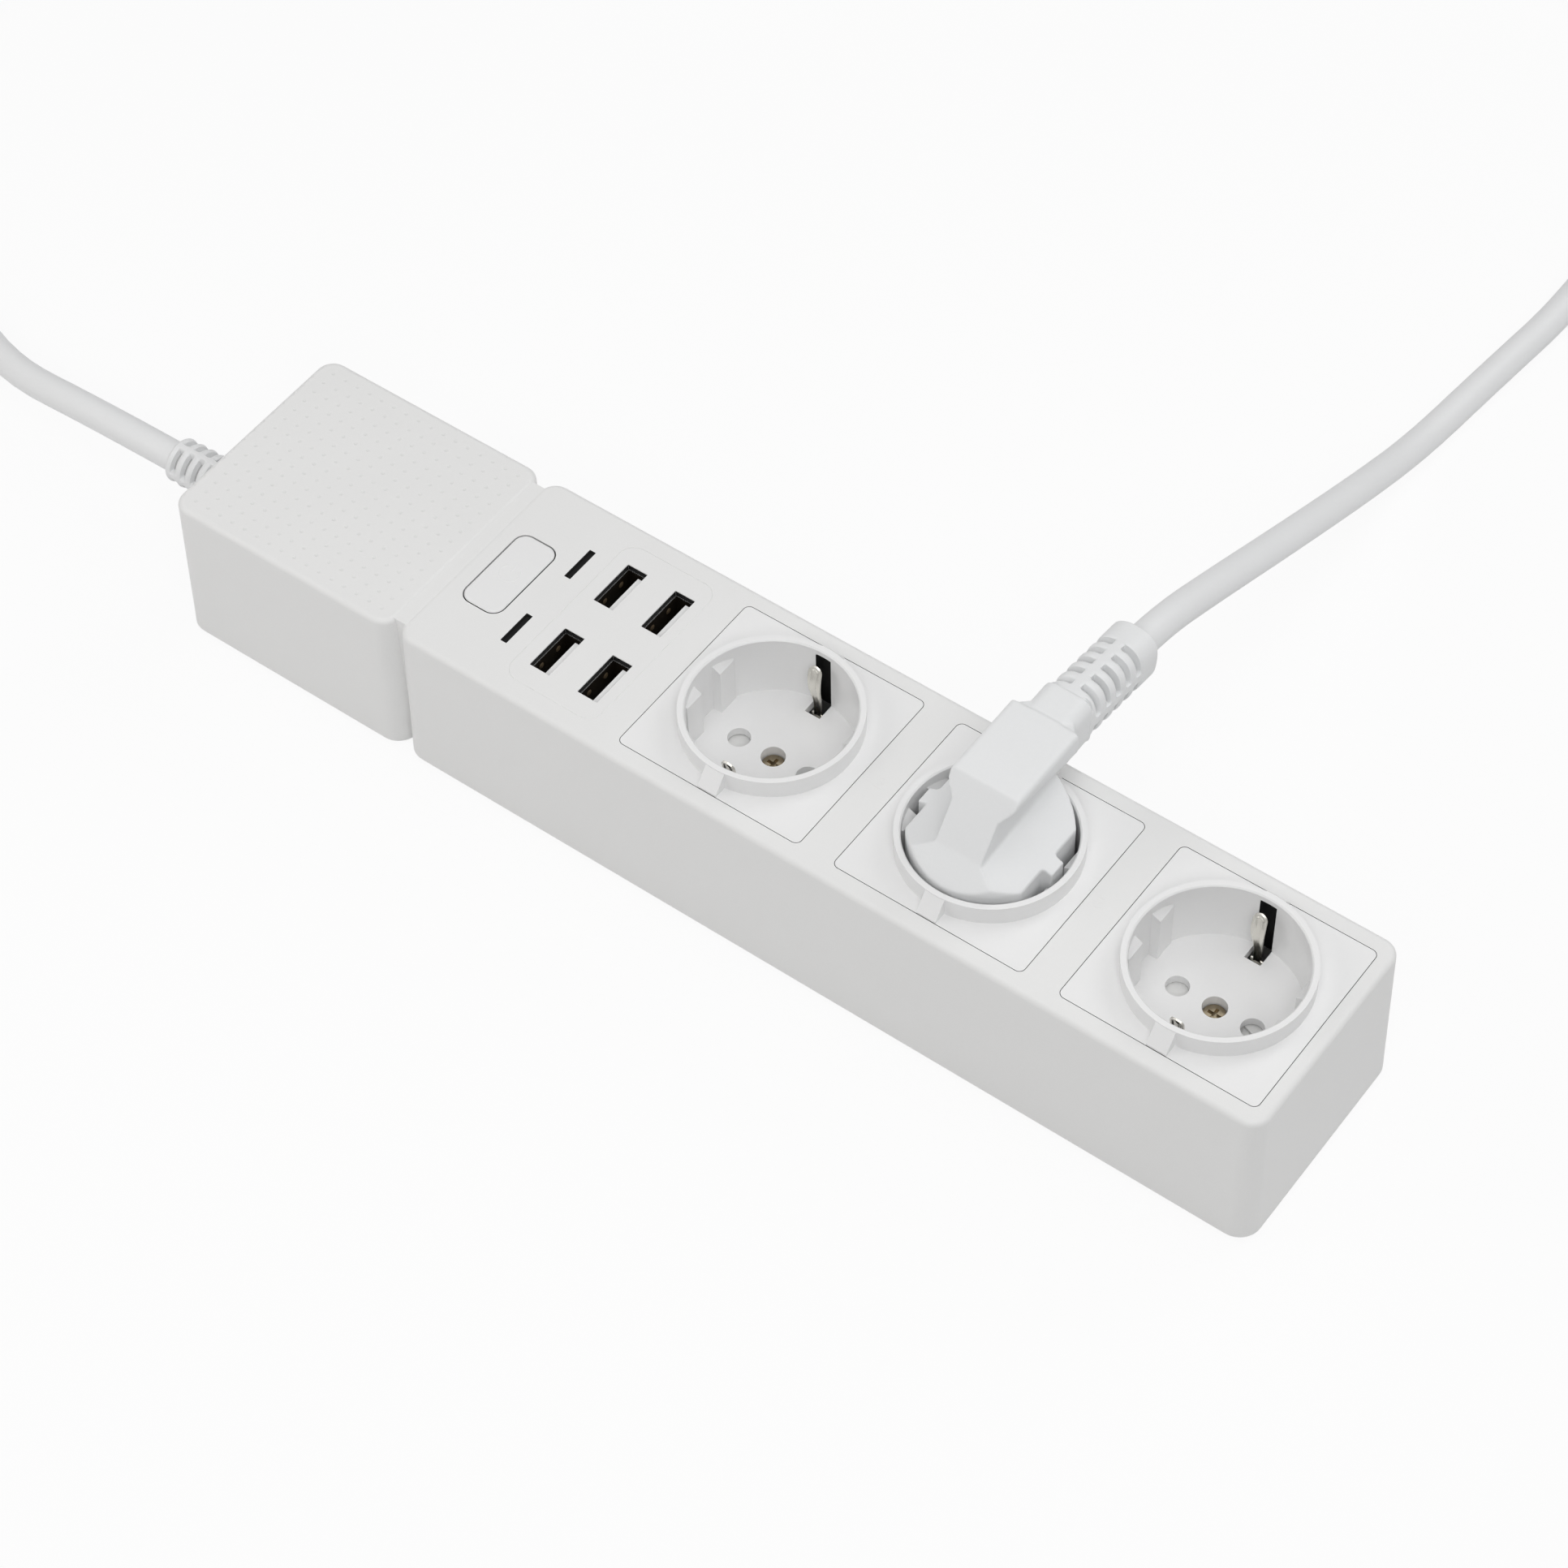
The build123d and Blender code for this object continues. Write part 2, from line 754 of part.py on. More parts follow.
# Earth clips: a strap under the well with a sprung finger rising through each slot
def finger_outline(side, bulge):
    """Sheet-thick profile of one finger, drawn in the YZ plane."""
    front = [
        (finger_root, strap_bottom),
        (finger_root, floor_under),
        (max(finger_root, bulge), floor_z),
        (bulge, rim_z - finger_bulge_below_rim),
        (bulge + finger_tip_lean, rim_z - finger_tip_below_rim),
    ]
    back = [(y + finger_thickness, z) for y, z in reversed(front)]
    return [(side * y, z) for y, z in front + back]


for number, x in enumerate(socket_xs, start=1):
    bulge = finger_pressed if x == plug_x else finger_bulge
    ring_hole = hub_radius + strap_ring_gap
    with BuildPart() as earth_clip:
        with BuildSketch(Plane.XY.offset(strap_bottom)):
            with Locations((x, 0)):
                Rectangle(strap_width, 2 * finger_root)
                RegularPolygon(ring_hole + strap_ring_width, strap_ring_sides)
                RegularPolygon(ring_hole, strap_ring_sides, mode=Mode.SUBTRACT)
        extrude(amount=strap_thickness)
        for side in (-1, 1):
            with BuildSketch(Plane.YZ.offset(x - strap_width / 2)):
                with BuildLine():
                    Polyline(*finger_outline(side, bulge), close=True)
                make_face()
            extrude(amount=strap_width)
    save(earth_clip, f"earth_clip_{number}")

# Power button with its switch
with BuildPart() as power_button:
    slab(button_length, button_width, button_radius, button_flange_bottom, button_top, button_x)
    chamfer(power_button.faces().sort_by(Axis.Z)[-1].edges(), button_edge)
    board(
        button_length + 2 * button_flange,
        button_width + 2 * button_flange,
        button_flange_bottom,
        button_flange_top,
        button_x,
    )
    stud(part_sides, button_stem_radius, stem_bottom, button_flange_bottom, button_x)
save(power_button, "power_button")

with BuildPart() as switch_plunger:
    stud(part_sides, plunger_radius, plunger_bottom, stem_bottom, button_x)
save(switch_plunger, "switch_plunger")

with BuildPart() as button_switch:
    board(switch_side, switch_side, control_board_top, switch_top, button_x)
    hole_bottom = plunger_bottom - plunger_travel - screw_end_room / 2
    hole_radius = plunger_radius + switch_clearance
    stud(part_sides, hole_radius, hole_bottom, switch_top, button_x, mode=Mode.SUBTRACT)
save(button_switch, "button_switch")

with BuildPart() as control_board:
    board(
        control_board_length,
        control_board_width,
        control_board_top - board_thickness,
        control_board_top,
        control_board_x,
    )
save(control_board, "control_board")

# Indicator windows and the lamps under them
for number, y in enumerate(indicator_ys, start=1):
    lens_length = indicator_length - 2 * indicator_clearance
    lens_width = indicator_width - 2 * indicator_clearance
    lens_bottom = control_board_top + led_height + led_gap
    with BuildPart() as indicator_lens:
        lens_radius = indicator_rounding * lens_width
        slab(lens_width, lens_length, lens_radius, ceiling_z, top_z - indicator_recess, indicator_x, y)
        board(lens_width, lens_length, lens_bottom, ceiling_z, indicator_x, y)
        board(
            lens_width + 2 * lens_flange,
            lens_length + 2 * lens_flange,
            ceiling_z - lens_flange_thickness,
            ceiling_z,
            indicator_x,
            y,
        )
    save(indicator_lens, f"indicator_lens_{number}")

with BuildPart() as indicator_leds:
    for y in indicator_ys:
        board(indicator_width, led_length, control_board_top, control_board_top + led_height, indicator_x, y)
save(indicator_leds, "indicator_leds")

# USB panel, shells, tongues and contacts
with BuildPart() as usb_panel:
    slab(usb_panel_length, usb_panel_width, usb_panel_radius, ceiling_z, top_z, usb_panel_x)
    for x, y in usb_points:
        half_x = usb_shell_length / 2 + usb_clearance
        half_y = usb_shell_width / 2 + usb_clearance
        brick((x - half_x, y - half_y, ceiling_z), (x + half_x, y + half_y, top_z), mode=Mode.SUBTRACT)
save(usb_panel, "usb_panel")

with BuildPart() as usb_board:
    board(usb_board_length, usb_board_width, usb_board_top - board_thickness, usb_board_top, usb_panel_x)
save(usb_board, "usb_board")

shell_bore_length = usb_shell_length - 2 * usb_shell_wall
shell_bore_width = usb_shell_width - 2 * usb_shell_wall
tongue_shift = shell_bore_length / 2 - tongue_back_gap - tongue_thickness / 2
for number, (x, y) in enumerate(usb_points, start=1):
    with BuildPart() as usb_shell:
        slab(usb_shell_length, usb_shell_width, usb_shell_radius, usb_board_top, usb_top, x, y)
        half_x = shell_bore_length / 2
        half_y = shell_bore_width / 2
        brick((x - half_x, y - half_y, usb_board_top), (x + half_x, y + half_y, usb_top), mode=Mode.SUBTRACT)
    save(usb_shell, f"usb_shell_{number}")
    with BuildPart() as usb_tongue:
        root = 2 * tongue_root_clearance
        root_top = usb_board_top + tongue_root
        board(shell_bore_length - root, shell_bore_width - root, usb_board_top, root_top, x, y)
        board(tongue_thickness, tongue_width, root_top, top_z - tongue_recess, x + tongue_shift, y)
    save(usb_tongue, f"usb_tongue_{number}")

with BuildPart() as usb_contacts:
    for x, y in usb_points:
        face_x = x + tongue_shift - tongue_thickness / 2
        contact_top = top_z - tongue_recess - contact_recess
        for k in range(contact_count):
            strip_y = y + (k - (contact_count - 1) / 2) * contact_spacing
            brick(
                (face_x - contact_thickness, strip_y - contact_width / 2, contact_top - contact_length),
                (face_x, strip_y + contact_width / 2, contact_top),
            )
save(usb_contacts, "usb_contacts")

# Main board in the control box
with BuildPart() as main_board:
    board(main_board_length, main_board_width, main_board_bottom, main_board_top, main_board_x)
save(main_board, "main_board")

fuse_zone = fuse_inset + fuse_radius + fuse_gap
relay_pitch = (main_board_length - relay_start - fuse_zone) / relay_count
relay_top = main_board_top + relay_height
for number in range(1, relay_count + 1):
    relay_x = main_board_left + relay_start + (number - 0.5) * relay_pitch
    with BuildPart() as relay:
        board(relay_pitch - relay_gap, relay_width, main_board_top, relay_top, relay_x, -relay_offset)
    save(relay, f"relay_{number}")

with BuildPart() as transformer:
    transformer_x = main_board_left + transformer_start + transformer_length / 2
    transformer_top = main_board_top + transformer_height
    board(transformer_length, transformer_width, main_board_top, transformer_top, transformer_x, part_row)
save(transformer, "transformer")

with BuildPart() as capacitors:
    radio_left = main_board_right - radio_inset - radio_length
    can_x = (transformer_x + transformer_length / 2 + radio_left) / 2
    for side in (-1, 1):
        y = part_row + side * can_spread / 2
        stud(part_sides, can_radius, main_board_top, main_board_top + can_height, can_x, y)
save(capacitors, "capacitors")

with BuildPart() as radio_module:
    radio_x = radio_left + radio_length / 2
    board(radio_length, radio_width, main_board_top, main_board_top + radio_height, radio_x, part_row)
save(radio_module, "radio_module")

with BuildPart() as fuse:
    with BuildSketch(Plane.XZ.offset(relay_offset - fuse_length / 2)):
        with Locations((main_board_right - fuse_inset, main_board_top + fuse_radius)):
            RegularPolygon(fuse_radius, part_sides, major_radius=False, rotation=180 / part_sides)
    extrude(amount=fuse_length)
save(fuse, "fuse")

# Cord clamp: a saddle screwed over the sheath
with BuildPart() as cord_clamp:
    half_length = clamp_length / 2
    brick(
        (clamp_x - half_length, -clamp_width / 2, clamp_seat),
        (clamp_x + half_length, clamp_width / 2, clamp_top),
    )
    brick(
        (clamp_x - half_length, -cord_room, clamp_seat),
        (clamp_x + half_length, cord_room, cord_height + cord_room),
        mode=Mode.SUBTRACT,
    )
    for side in (-1, 1):
        y = side * clamp_screw_spread / 2
        hole_radius = clamp_screw_radius + screw_clearance
        stud(screw_sides, hole_radius, clamp_seat, clamp_top, clamp_x, y, mode=Mode.SUBTRACT)
save(cord_clamp, "cord_clamp")

with BuildPart() as clamp_screws:
    for side in (-1, 1):
        y = side * clamp_screw_spread / 2
        stud(screw_sides, clamp_head_radius, clamp_top, clamp_top + clamp_head_height, clamp_x, y)
        stud(screw_sides, clamp_screw_radius, clamp_top - clamp_screw_length, clamp_top, clamp_x, y)
save(clamp_screws, "clamp_screws")

# Leads from the cord to the board, the busbars and the contacts
cord_end_x = left_end + cord_inner_end
lead_turn_x = cord_end_x + lead_turn
lead_floor = bar_bottom + core_radius
live_end_x = main_board_left + live_end_inset
core_high = cord_height + core_lift
core_low = cord_height - core_spread

with BuildPart() as live_lead:
    live_points = [
        (cord_end_x, -core_spread, core_high),
        (live_end_x, -core_spread, core_high),
        (live_end_x, -core_spread, main_board_top),
    ]
    lead(live_points)
save(live_lead, "live_lead")

with BuildPart() as neutral_lead:
    bar_middle = bar_offset + bar_thickness / 2
    neutral_points = [
        (cord_end_x, core_spread, core_high),
        (lead_turn_x, core_spread, core_high),
        (lead_turn_x, bar_middle, lead_floor),
        (bar_start, bar_middle, lead_floor),
    ]
    lead(neutral_points)
save(neutral_lead, "neutral_lead")

with BuildPart() as earth_lead:
    earth_bar_y = -earth_bar_near - earth_bar_width / 2
    earth_end_z = strap_bottom - bar_thickness / 2
    earth_points = [
        (cord_end_x, 0, core_low),
        (lead_turn_x, 0, core_low),
        (lead_turn_x, earth_lane, lead_floor),
        (earth_bar_start - earth_rise_start, earth_lane, lead_floor),
        (earth_bar_start - earth_rise_end, earth_bar_y, earth_end_z),
        (earth_bar_start, earth_bar_y, earth_end_z),
    ]
    lead(earth_points)
save(earth_lead, "earth_lead")

with BuildPart() as switched_leads:
    lead_z = (bridge_bottom + bridge_top) / 2
    for k, x in enumerate(socket_xs):
        lane = -contact_tab_reach - lane_room - lead_gap - k * (2 * core_radius + lead_gap)
        start_x = main_board_right - lead_inset
        lead_points = [
            (start_x, lane, main_board_top),
            (start_x, lane, main_board_top + lead_rise),
            (neck_x + lead_dive, lane, lead_z),
            (x - pin_spacing / 2, lane, lead_z),
            (x - pin_spacing / 2, -contact_tab_reach, lead_z),
        ]
        lead(lead_points)
save(switched_leads, "switched_leads")

# Ribbed relief where the cord leaves the box: rings on a sleeve, tied by four straight bridges
relief_tip = left_end - relief_length
flange_start = inner_left + relief_clearance
flange_end = flange_start + relief_flange


def relief_ring(radius, start, end, mode=Mode.ADD):
    """Many-sided stretch of the relief along the cord's axis."""
    with BuildSketch(Plane.YZ.offset(start)) as ring:
        with Locations((0, cord_height)):
            RegularPolygon(radius, relief_sides, rotation=180 / relief_sides)
    extrude(ring.sketch, amount=end - start, mode=mode)


with BuildPart() as cord_grommet:
    relief_ring(relief_core_radius, relief_tip, flange_start)
    relief_ring(relief_tip_radius, relief_tip, relief_tip + relief_cap)
    for row in range(1, relief_rows + 1):
        ring_start = relief_tip + relief_cap + relief_slot + (row - 1) * relief_pitch
        ring_end = flange_start if row == relief_rows else ring_start + relief_pitch - relief_slot
        growth = (relief_root_radius - relief_tip_radius) * row / relief_rows
        relief_ring(relief_tip_radius + growth, ring_start, ring_end)
    relief_ring(relief_flange_radius, flange_start, flange_end)
    bridge_reach = relief_tip_radius * cos(radians(180 / relief_sides))
    for half_y, half_z in ((relief_bridge / 2, bridge_reach), (bridge_reach, relief_bridge / 2)):
        brick(
            (relief_tip, -half_y, cord_height - half_z),
            (left_end, half_y, cord_height + half_z),
        )
    relief_ring(cord_radius + relief_clearance, relief_tip, flange_end, mode=Mode.SUBTRACT)
save(cord_grommet, "cord_grommet")

# Handle of the mains plug, drawn apart because its sloping faces must not cut the plug's body
plug_z = floor_z
handle_bottom = plug_z + plug_shoulder
handle_top = handle_shelf_height + handle_block_rise
handle_ceiling = plug_z + handle_top + cut_margin
neck_height = handle_top - neck_drop
tail_start_height = handle_top - tail_drop
tail_end_height = tail_start_height - tail_fall * (tail_end - tail_start)
tail_angle = atan2(-tail_fall, 1)
tail_way = Vector(0, cos(tail_angle), sin(tail_angle))


def cross_plane(y, height, way):
    """Plane across the handle or its tail."""
    return Plane(origin=(plug_x, y, plug_z + height), x_dir=(1, 0, 0), z_dir=way)


def web_section():
    """Section of the handle with its hollowed web, drawn in the XZ plane."""
    foot = (plug_x + handle_waist, handle_bottom)
    lower = (plug_x + handle_waist, plug_z + handle_waist_height)
    hollow = (plug_x + handle_cove, plug_z + handle_cove_height)
    shelf = (plug_x + handle_half_width, plug_z + handle_shelf_height)
    corner = (plug_x + handle_half_width, handle_ceiling)
    with BuildLine() as right_half:
        Polyline((plug_x, handle_bottom), foot, lower)
        ThreePointArc(lower, hollow, shelf)
        Polyline(shelf, corner, (plug_x, handle_ceiling))
        mirror(about=Plane.YZ.offset(plug_x))
    return right_half.line


def block_section():
    """Section of the handle's upper block with its bevelled underside, drawn in the XZ plane."""
    shelf = plug_z + handle_shelf_height
    inner = plug_x + handle_half_width - handle_shelf_chamfer
    outer = plug_x + handle_half_width
    with BuildLine() as right_half:
        Polyline(
            (plug_x, shelf - handle_shelf_chamfer),
            (inner, shelf - handle_shelf_chamfer),
            (outer, shelf),
            (outer, handle_ceiling),
            (plug_x, handle_ceiling),
        )
        mirror(about=Plane.YZ.offset(plug_x))
    return right_half.line


with BuildPart() as plug_handle:
    with BuildSketch(Plane.XZ.offset(-handle_web_far)):
        add(web_section())
        make_face()
    extrude(amount=handle_web_far - handle_foot)
    with BuildSketch(Plane.XZ.offset(-handle_far)):
        add(block_section())
        make_face()
    extrude(amount=handle_far - handle_foot)
    ramp_run = handle_near - handle_foot
    ramp_rise = handle_top - handle_foot_height
    ramp_top = (plug_x, handle_near, plug_z + handle_top)
    split(bisect_by=Plane(origin=ramp_top, z_dir=(0, -ramp_rise, ramp_run)), keep=Keep.BOTTOM)
    split(bisect_by=Plane(origin=ramp_top, z_dir=(0, 0, 1)), keep=Keep.BOTTOM)
    top_edges = plug_handle.faces().sort_by(Axis.Z)[-1].edges()
    fillet(top_edges.filter_by(Axis.X, reverse=True), handle_edge)
    block_tall = handle_block_rise + handle_shelf_chamfer
    block_middle = handle_top - block_tall / 2
    with BuildSketch(cross_plane(handle_far, block_middle, (0, 1, 0))) as block_end:
        Rectangle(2 * (handle_half_width - handle_edge), block_tall - handle_edge)
    with BuildSketch(cross_plane(neck_start, neck_height, (0, 1, 0))) as neck_face:
        Rectangle(neck_span - neck_corner, neck_tall - neck_corner)
    loft([block_end.sketch, neck_face.sketch])
    with BuildSketch(cross_plane(handle_web_far, neck_height, (0, 1, 0))) as neck_root:
        RectangleRounded(neck_span, neck_tall, neck_corner)
    extrude(neck_root.sketch, amount=tail_start - handle_web_far)

# Ribbed tail of the plug, drooping a little towards the cord
tail_plane = cross_plane(tail_start, tail_start_height, tail_way)
tail_length = (tail_end - tail_start) / cos(tail_angle)
with BuildPart() as plug_tail:
    with BuildSketch(tail_plane):
        Rectangle(tail_span - 2 * tail_depth, tail_tall - 2 * tail_depth)
        Rectangle(tail_bridge, tail_tall)
        Rectangle(tail_span, tail_bridge)
    extrude(amount=tail_length)
    slot_starts = [tail_first + row * tail_pitch for row in range(tail_rows)]
    ring_starts = [0.0] + [start + tail_slot for start in slot_starts]
    ring_ends = slot_starts + [tail_length]
    for ring_start, ring_end in zip(ring_starts, ring_ends):
        with BuildSketch(tail_plane.offset(ring_start)):
            RectangleRounded(tail_span, tail_tall, tail_corner)
        extrude(amount=ring_end - ring_start)

# Mains plug, pushed home in the middle socket
with BuildPart() as mains_plug:
    disc(plug_radius, plug_z, plug_z + plug_crown, plug_x)
    crown = (plug_x, 0, plug_z + plug_crown)
    for side in (-1, 1):
        split(bisect_by=Plane(origin=crown, z_dir=(side * plug_flank_fall, 0, 1)), keep=Keep.BOTTOM)
    shoulder = (plug_x, -plug_radius, plug_z + plug_shoulder)
    split(bisect_by=Plane(origin=shoulder, z_dir=(0, -plug_near_rise, 1)), keep=Keep.BOTTOM)
    for side in (-1, 1):
        for near, far in ((notch_near, notch_far), (-notch_far, -notch_near)):
            edges = sorted((plug_x + side * notch_inner, plug_x + side * (plug_radius + cut_margin)))
            brick((edges[0], near, plug_z), (edges[1], far, plug_z + plug_crown), mode=Mode.SUBTRACT)
        edges = sorted((plug_x + side * tab_reach, plug_x + side * (plug_radius + cut_margin)))
        tab_top = plug_z + plug_crown
        brick((edges[0], -notch_near, plug_z), (edges[1], notch_near, tab_top), mode=Mode.SUBTRACT)
    for side in (-1, 1):
        recess = sorted((side * (plug_radius - earth_strip_depth), side * (plug_radius + cut_margin)))
        half = earth_strip_width / 2 + earth_strip_clearance
        brick(
            (plug_x - half, recess[0], plug_z),
            (plug_x + half, recess[1], plug_z + earth_strip_height + earth_strip_clearance),
            mode=Mode.SUBTRACT,
        )
    add(plug_handle.part)
    add(plug_tail.part)
save(mains_plug, "mains_plug")

with BuildPart() as plug_pins:
    for side in (-1, 1):
        stud(pin_sides, pin_radius, plug_z - pin_length, plug_z, plug_x + side * pin_spacing / 2)
    chamfer(plug_pins.faces().group_by(Axis.Z)[0].edges(), pin_tip)
save(plug_pins, "plug_pins")

with BuildPart() as plug_earth_strips:
    for side in (-1, 1):
        strip_back = plug_radius - earth_strip_depth
        depth = sorted((side * strip_back, side * (strip_back + earth_strip_thickness)))
        brick(
            (plug_x - earth_strip_width / 2, depth[0], plug_z + earth_strip_lift),
            (plug_x + earth_strip_width / 2, depth[1], plug_z + earth_strip_height),
        )
save(plug_earth_strips, "plug_earth_strips")

# Cord: from the clamp out through the relief to a tied coil, then on to the plug


def coil_point(heading, height):
    """Point where the route meets the coil, going round to the left."""
    place = radians(heading - 90.0)
    x = coil_centre[0] + coil_radius * cos(place)
    return (x, coil_centre[1] + coil_radius * sin(place), height)


cord_first_turn = (
    plug_x,
    tail_end + cord_first_run * tail_way.Y,
    plug_z + tail_end_height + cord_first_run * tail_way.Z,
)
start_points = [
    (cord_end_x, 0, cord_height),
    (-192.0, 0, cord_height),
    (-252.0, 4.0, 4.1),
    (-300.0, 44.0, 4.0),
    (-338.0, 80.0, 4.0),
    (-347.0, 124.0, 4.0),
    (-317.0, 157.0, 4.0),
    (-275.0, 187.6, 4.0),
    (-231.7, 212.6, 4.0),
    coil_point(coil_in_heading, 4.0),
]
end_points = [
    coil_point(coil_out_heading, coil_top - coil_exit_drop),
    (-141.6, 268.0, 11.5),
    (-96.3, 300.9, 4.2),
    (-48.5, 333.8, 4.0),
    (2.7, 365.1, 4.0),
    (48.0, 340.0, 4.0),
    (65.0, 292.0, 4.0),
    (68.2, 252.0, 4.0),
    (64.4, 216.0, 4.0),
    (61.8, 186.0, 4.3),
    (plug_x, 157.0, 15.4),
    (plug_x, 122.0, 30.0),
    (plug_x, 88.0, 44.8),
    cord_first_turn,
    (plug_x, tail_end, plug_z + tail_end_height),
]
for name, points in (("cord_start", start_points), ("cord_end", end_points)):
    radii = bend_radii(points)
    with BuildPart() as cord:
        length, section = tube(points, radii)
    save(cord, name)
    print(name, "radii", [round(radius, 1) for radius in radii])
    print(name, "length", round(length, 1), "volume ratio", round(cord.part.volume / (section * length), 5))

with BuildPart() as cord_coil:
    with BuildSketch(Plane.XY.offset(coil_bottom)):
        with Locations(coil_centre):
            RegularPolygon(coil_radius + coil_half_width, coil_sides)
            RegularPolygon(coil_radius - coil_half_width, coil_sides, mode=Mode.SUBTRACT)
    extrude(amount=coil_top - coil_bottom)
save(cord_coil, "cord_coil")

tie_plane = Plane(origin=(coil_centre[0], coil_centre[1] + coil_radius, 0), x_dir=(0, 1, 0), z_dir=(1, 0, 0))
with BuildPart() as cord_tie:
    with BuildSketch(tie_plane.offset(-tie_width / 2)):
        with Locations((0, (coil_bottom + coil_top) / 2)):
            tie_half = coil_half_width + tie_clearance
            coil_tall = coil_top - coil_bottom
            Rectangle(2 * (tie_half + tie_thickness), coil_tall + 2 * tie_thickness)
            Rectangle(2 * tie_half, coil_tall, mode=Mode.SUBTRACT)
    extrude(amount=tie_width)
save(cord_tie, "cord_tie")
print("heading change on the coil", coil_out_heading - coil_in_heading)
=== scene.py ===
import json
import math

import bmesh
import bpy
from mathutils import Matrix, Vector


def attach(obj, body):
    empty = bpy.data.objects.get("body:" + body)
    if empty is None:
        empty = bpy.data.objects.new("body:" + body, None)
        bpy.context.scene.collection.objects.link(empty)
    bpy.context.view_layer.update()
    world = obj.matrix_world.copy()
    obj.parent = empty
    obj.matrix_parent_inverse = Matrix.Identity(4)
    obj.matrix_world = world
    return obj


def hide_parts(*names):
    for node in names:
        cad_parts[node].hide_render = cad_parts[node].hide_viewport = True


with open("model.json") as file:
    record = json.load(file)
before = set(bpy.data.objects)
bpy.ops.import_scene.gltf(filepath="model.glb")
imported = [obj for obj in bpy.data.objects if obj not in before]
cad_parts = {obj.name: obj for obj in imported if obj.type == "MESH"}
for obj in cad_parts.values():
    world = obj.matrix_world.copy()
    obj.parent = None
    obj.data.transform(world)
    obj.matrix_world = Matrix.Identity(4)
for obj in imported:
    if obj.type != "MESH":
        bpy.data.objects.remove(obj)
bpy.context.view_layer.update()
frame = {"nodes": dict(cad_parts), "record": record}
nodes = frame["nodes"]
MM = 0.001

# Places and sizes of the strip, in millimetres, as the part's source has them
LEFT_END = -150.0
TOP = 43.0
FLOOR = 30.6
WELL_RADIUS = 19.4
FLOOR_UNDER = 28.4
SOCKETS = (3.47, 62.07, 120.67)
PLATE_HALF = (24.675, 24.185)
PLATE_RADIUS = 1.5
PLATE_SEAM = 0.15
PLUG_X = SOCKETS[1]
BUTTON_X = -71.05
BUTTON_TOP = 43.3
BUTTON_HALF = (5.45, 11.75)
BUTTON_RADIUS = 3.0
WINDOW_X = -59.7
WINDOW_Y = 11.65
WINDOW_HALF = (0.87, 4.825)
WINDOW_RADIUS = 0.14
PANEL_X = -41.6
PANEL_HALF = (12.8, 23.55)
PANEL_RADIUS = 4.0
USB_PLACES = ((-48.0, -11.65), (-48.0, 11.65), (-34.4, -11.65), (-34.4, 11.65))
SHELL_HALF = (2.675, 6.4)
SHELL_WALL = 0.3
SHELL_TOP = 41.6
CORD_HEIGHT = 15.2
CORD_RADIUS = 3.9
PIT_START = -144.4
PIT_END = -86.6
PIT_REACH = 25.5
PIT_PITCH = (3.74, 3.54)
PIT_RADIUS = 0.5
PIT_DEPTH = 0.09
PIT_LEVEL = TOP - 0.05
EDGE_ROUND = 0.12
HOUSING_ROUND = 0.1

# What counts as one point, a flat joint, a sharp edge, an upright wall or a wall on an outline
WELD = 0.001
FLAT_ANGLE = math.radians(0.5)
SHARP_ANGLE = math.radians(35.0)
UPRIGHT = 0.3
ON_OUTLINE = 0.05


class Wire:
    """A shader socket that Python arithmetic can be written with."""

    def __init__(self, tree, socket):
        self.tree = tree
        self.socket = socket

    @staticmethod
    def node(tree, kind, settings=None, sockets=None, output=0):
        """Adds a node, sets its settings, then its sockets, and returns one of its outputs."""
        made = tree.nodes.new(kind)
        for name, value in (settings or {}).items():
            if name == "stops":
                ramp = made.color_ramp
                while len(ramp.elements) < len(value):
                    ramp.elements.new(1.0)
                for element, (place, colour) in zip(ramp.elements, value):
                    element.position = place
                    element.color = colour
            else:
                setattr(made, name, value)
        for name, value in (sockets or {}).items():
            if isinstance(value, Wire):
                tree.links.new(value.socket, made.inputs[name])
            else:
                made.inputs[name].default_value = value
        return Wire(tree, made.outputs[output]) if made.outputs else made

    def math(self, operation, first, second=None):
        """One step of arithmetic on one or two values."""
        values = {0: first} if second is None else {0: first, 1: second}
        return Wire.node(self.tree, "ShaderNodeMath", {"operation": operation}, values)

    def __add__(self, other):
        return self.math("ADD", self, other)

    def __radd__(self, other):
        return self.math("ADD", other, self)

    def __sub__(self, other):
        return self.math("SUBTRACT", self, other)

    def __rsub__(self, other):
        return self.math("SUBTRACT", other, self)

    def __mul__(self, other):
        return self.math("MULTIPLY", self, other)

    def __rmul__(self, other):
        return self.math("MULTIPLY", other, self)

    def __truediv__(self, other):
        return self.math("DIVIDE", self, other)

    def __gt__(self, other):
        return self.math("GREATER_THAN", self, other)

    def __lt__(self, other):
        return self.math("LESS_THAN", self, other)

    def __abs__(self):
        return self.math("ABSOLUTE", self)


def new_finish(name):
    """A material, its empty tree and its object coordinates."""
    material = bpy.data.materials.new(name)
    material.use_nodes = True
    tree = material.node_tree
    tree.nodes.clear()
    place = Wire.node(tree, "ShaderNodeTexCoord", output="Object")
    return material, tree, place


def close_finish(tree, shader):
    """Leads a shader to the material's output."""
    Wire.node(tree, "ShaderNodeOutputMaterial", {}, {"Surface": shader})


# Scales, shares and depths of the marks in the finishes, and how much darker pits are painted as shade
BROAD_SCALE = 40.0
FINE_SHARE = 0.55
PIT_SHADE = 0.8
GLOSS_SPREAD = 0.12
DRAWN_SCALE = 900.0
DRAWN_STRETCH = (1.0, 1.0, 0.08)
PLATE_SCALE = 220.0
DRAWN_DEPTH = 0.01


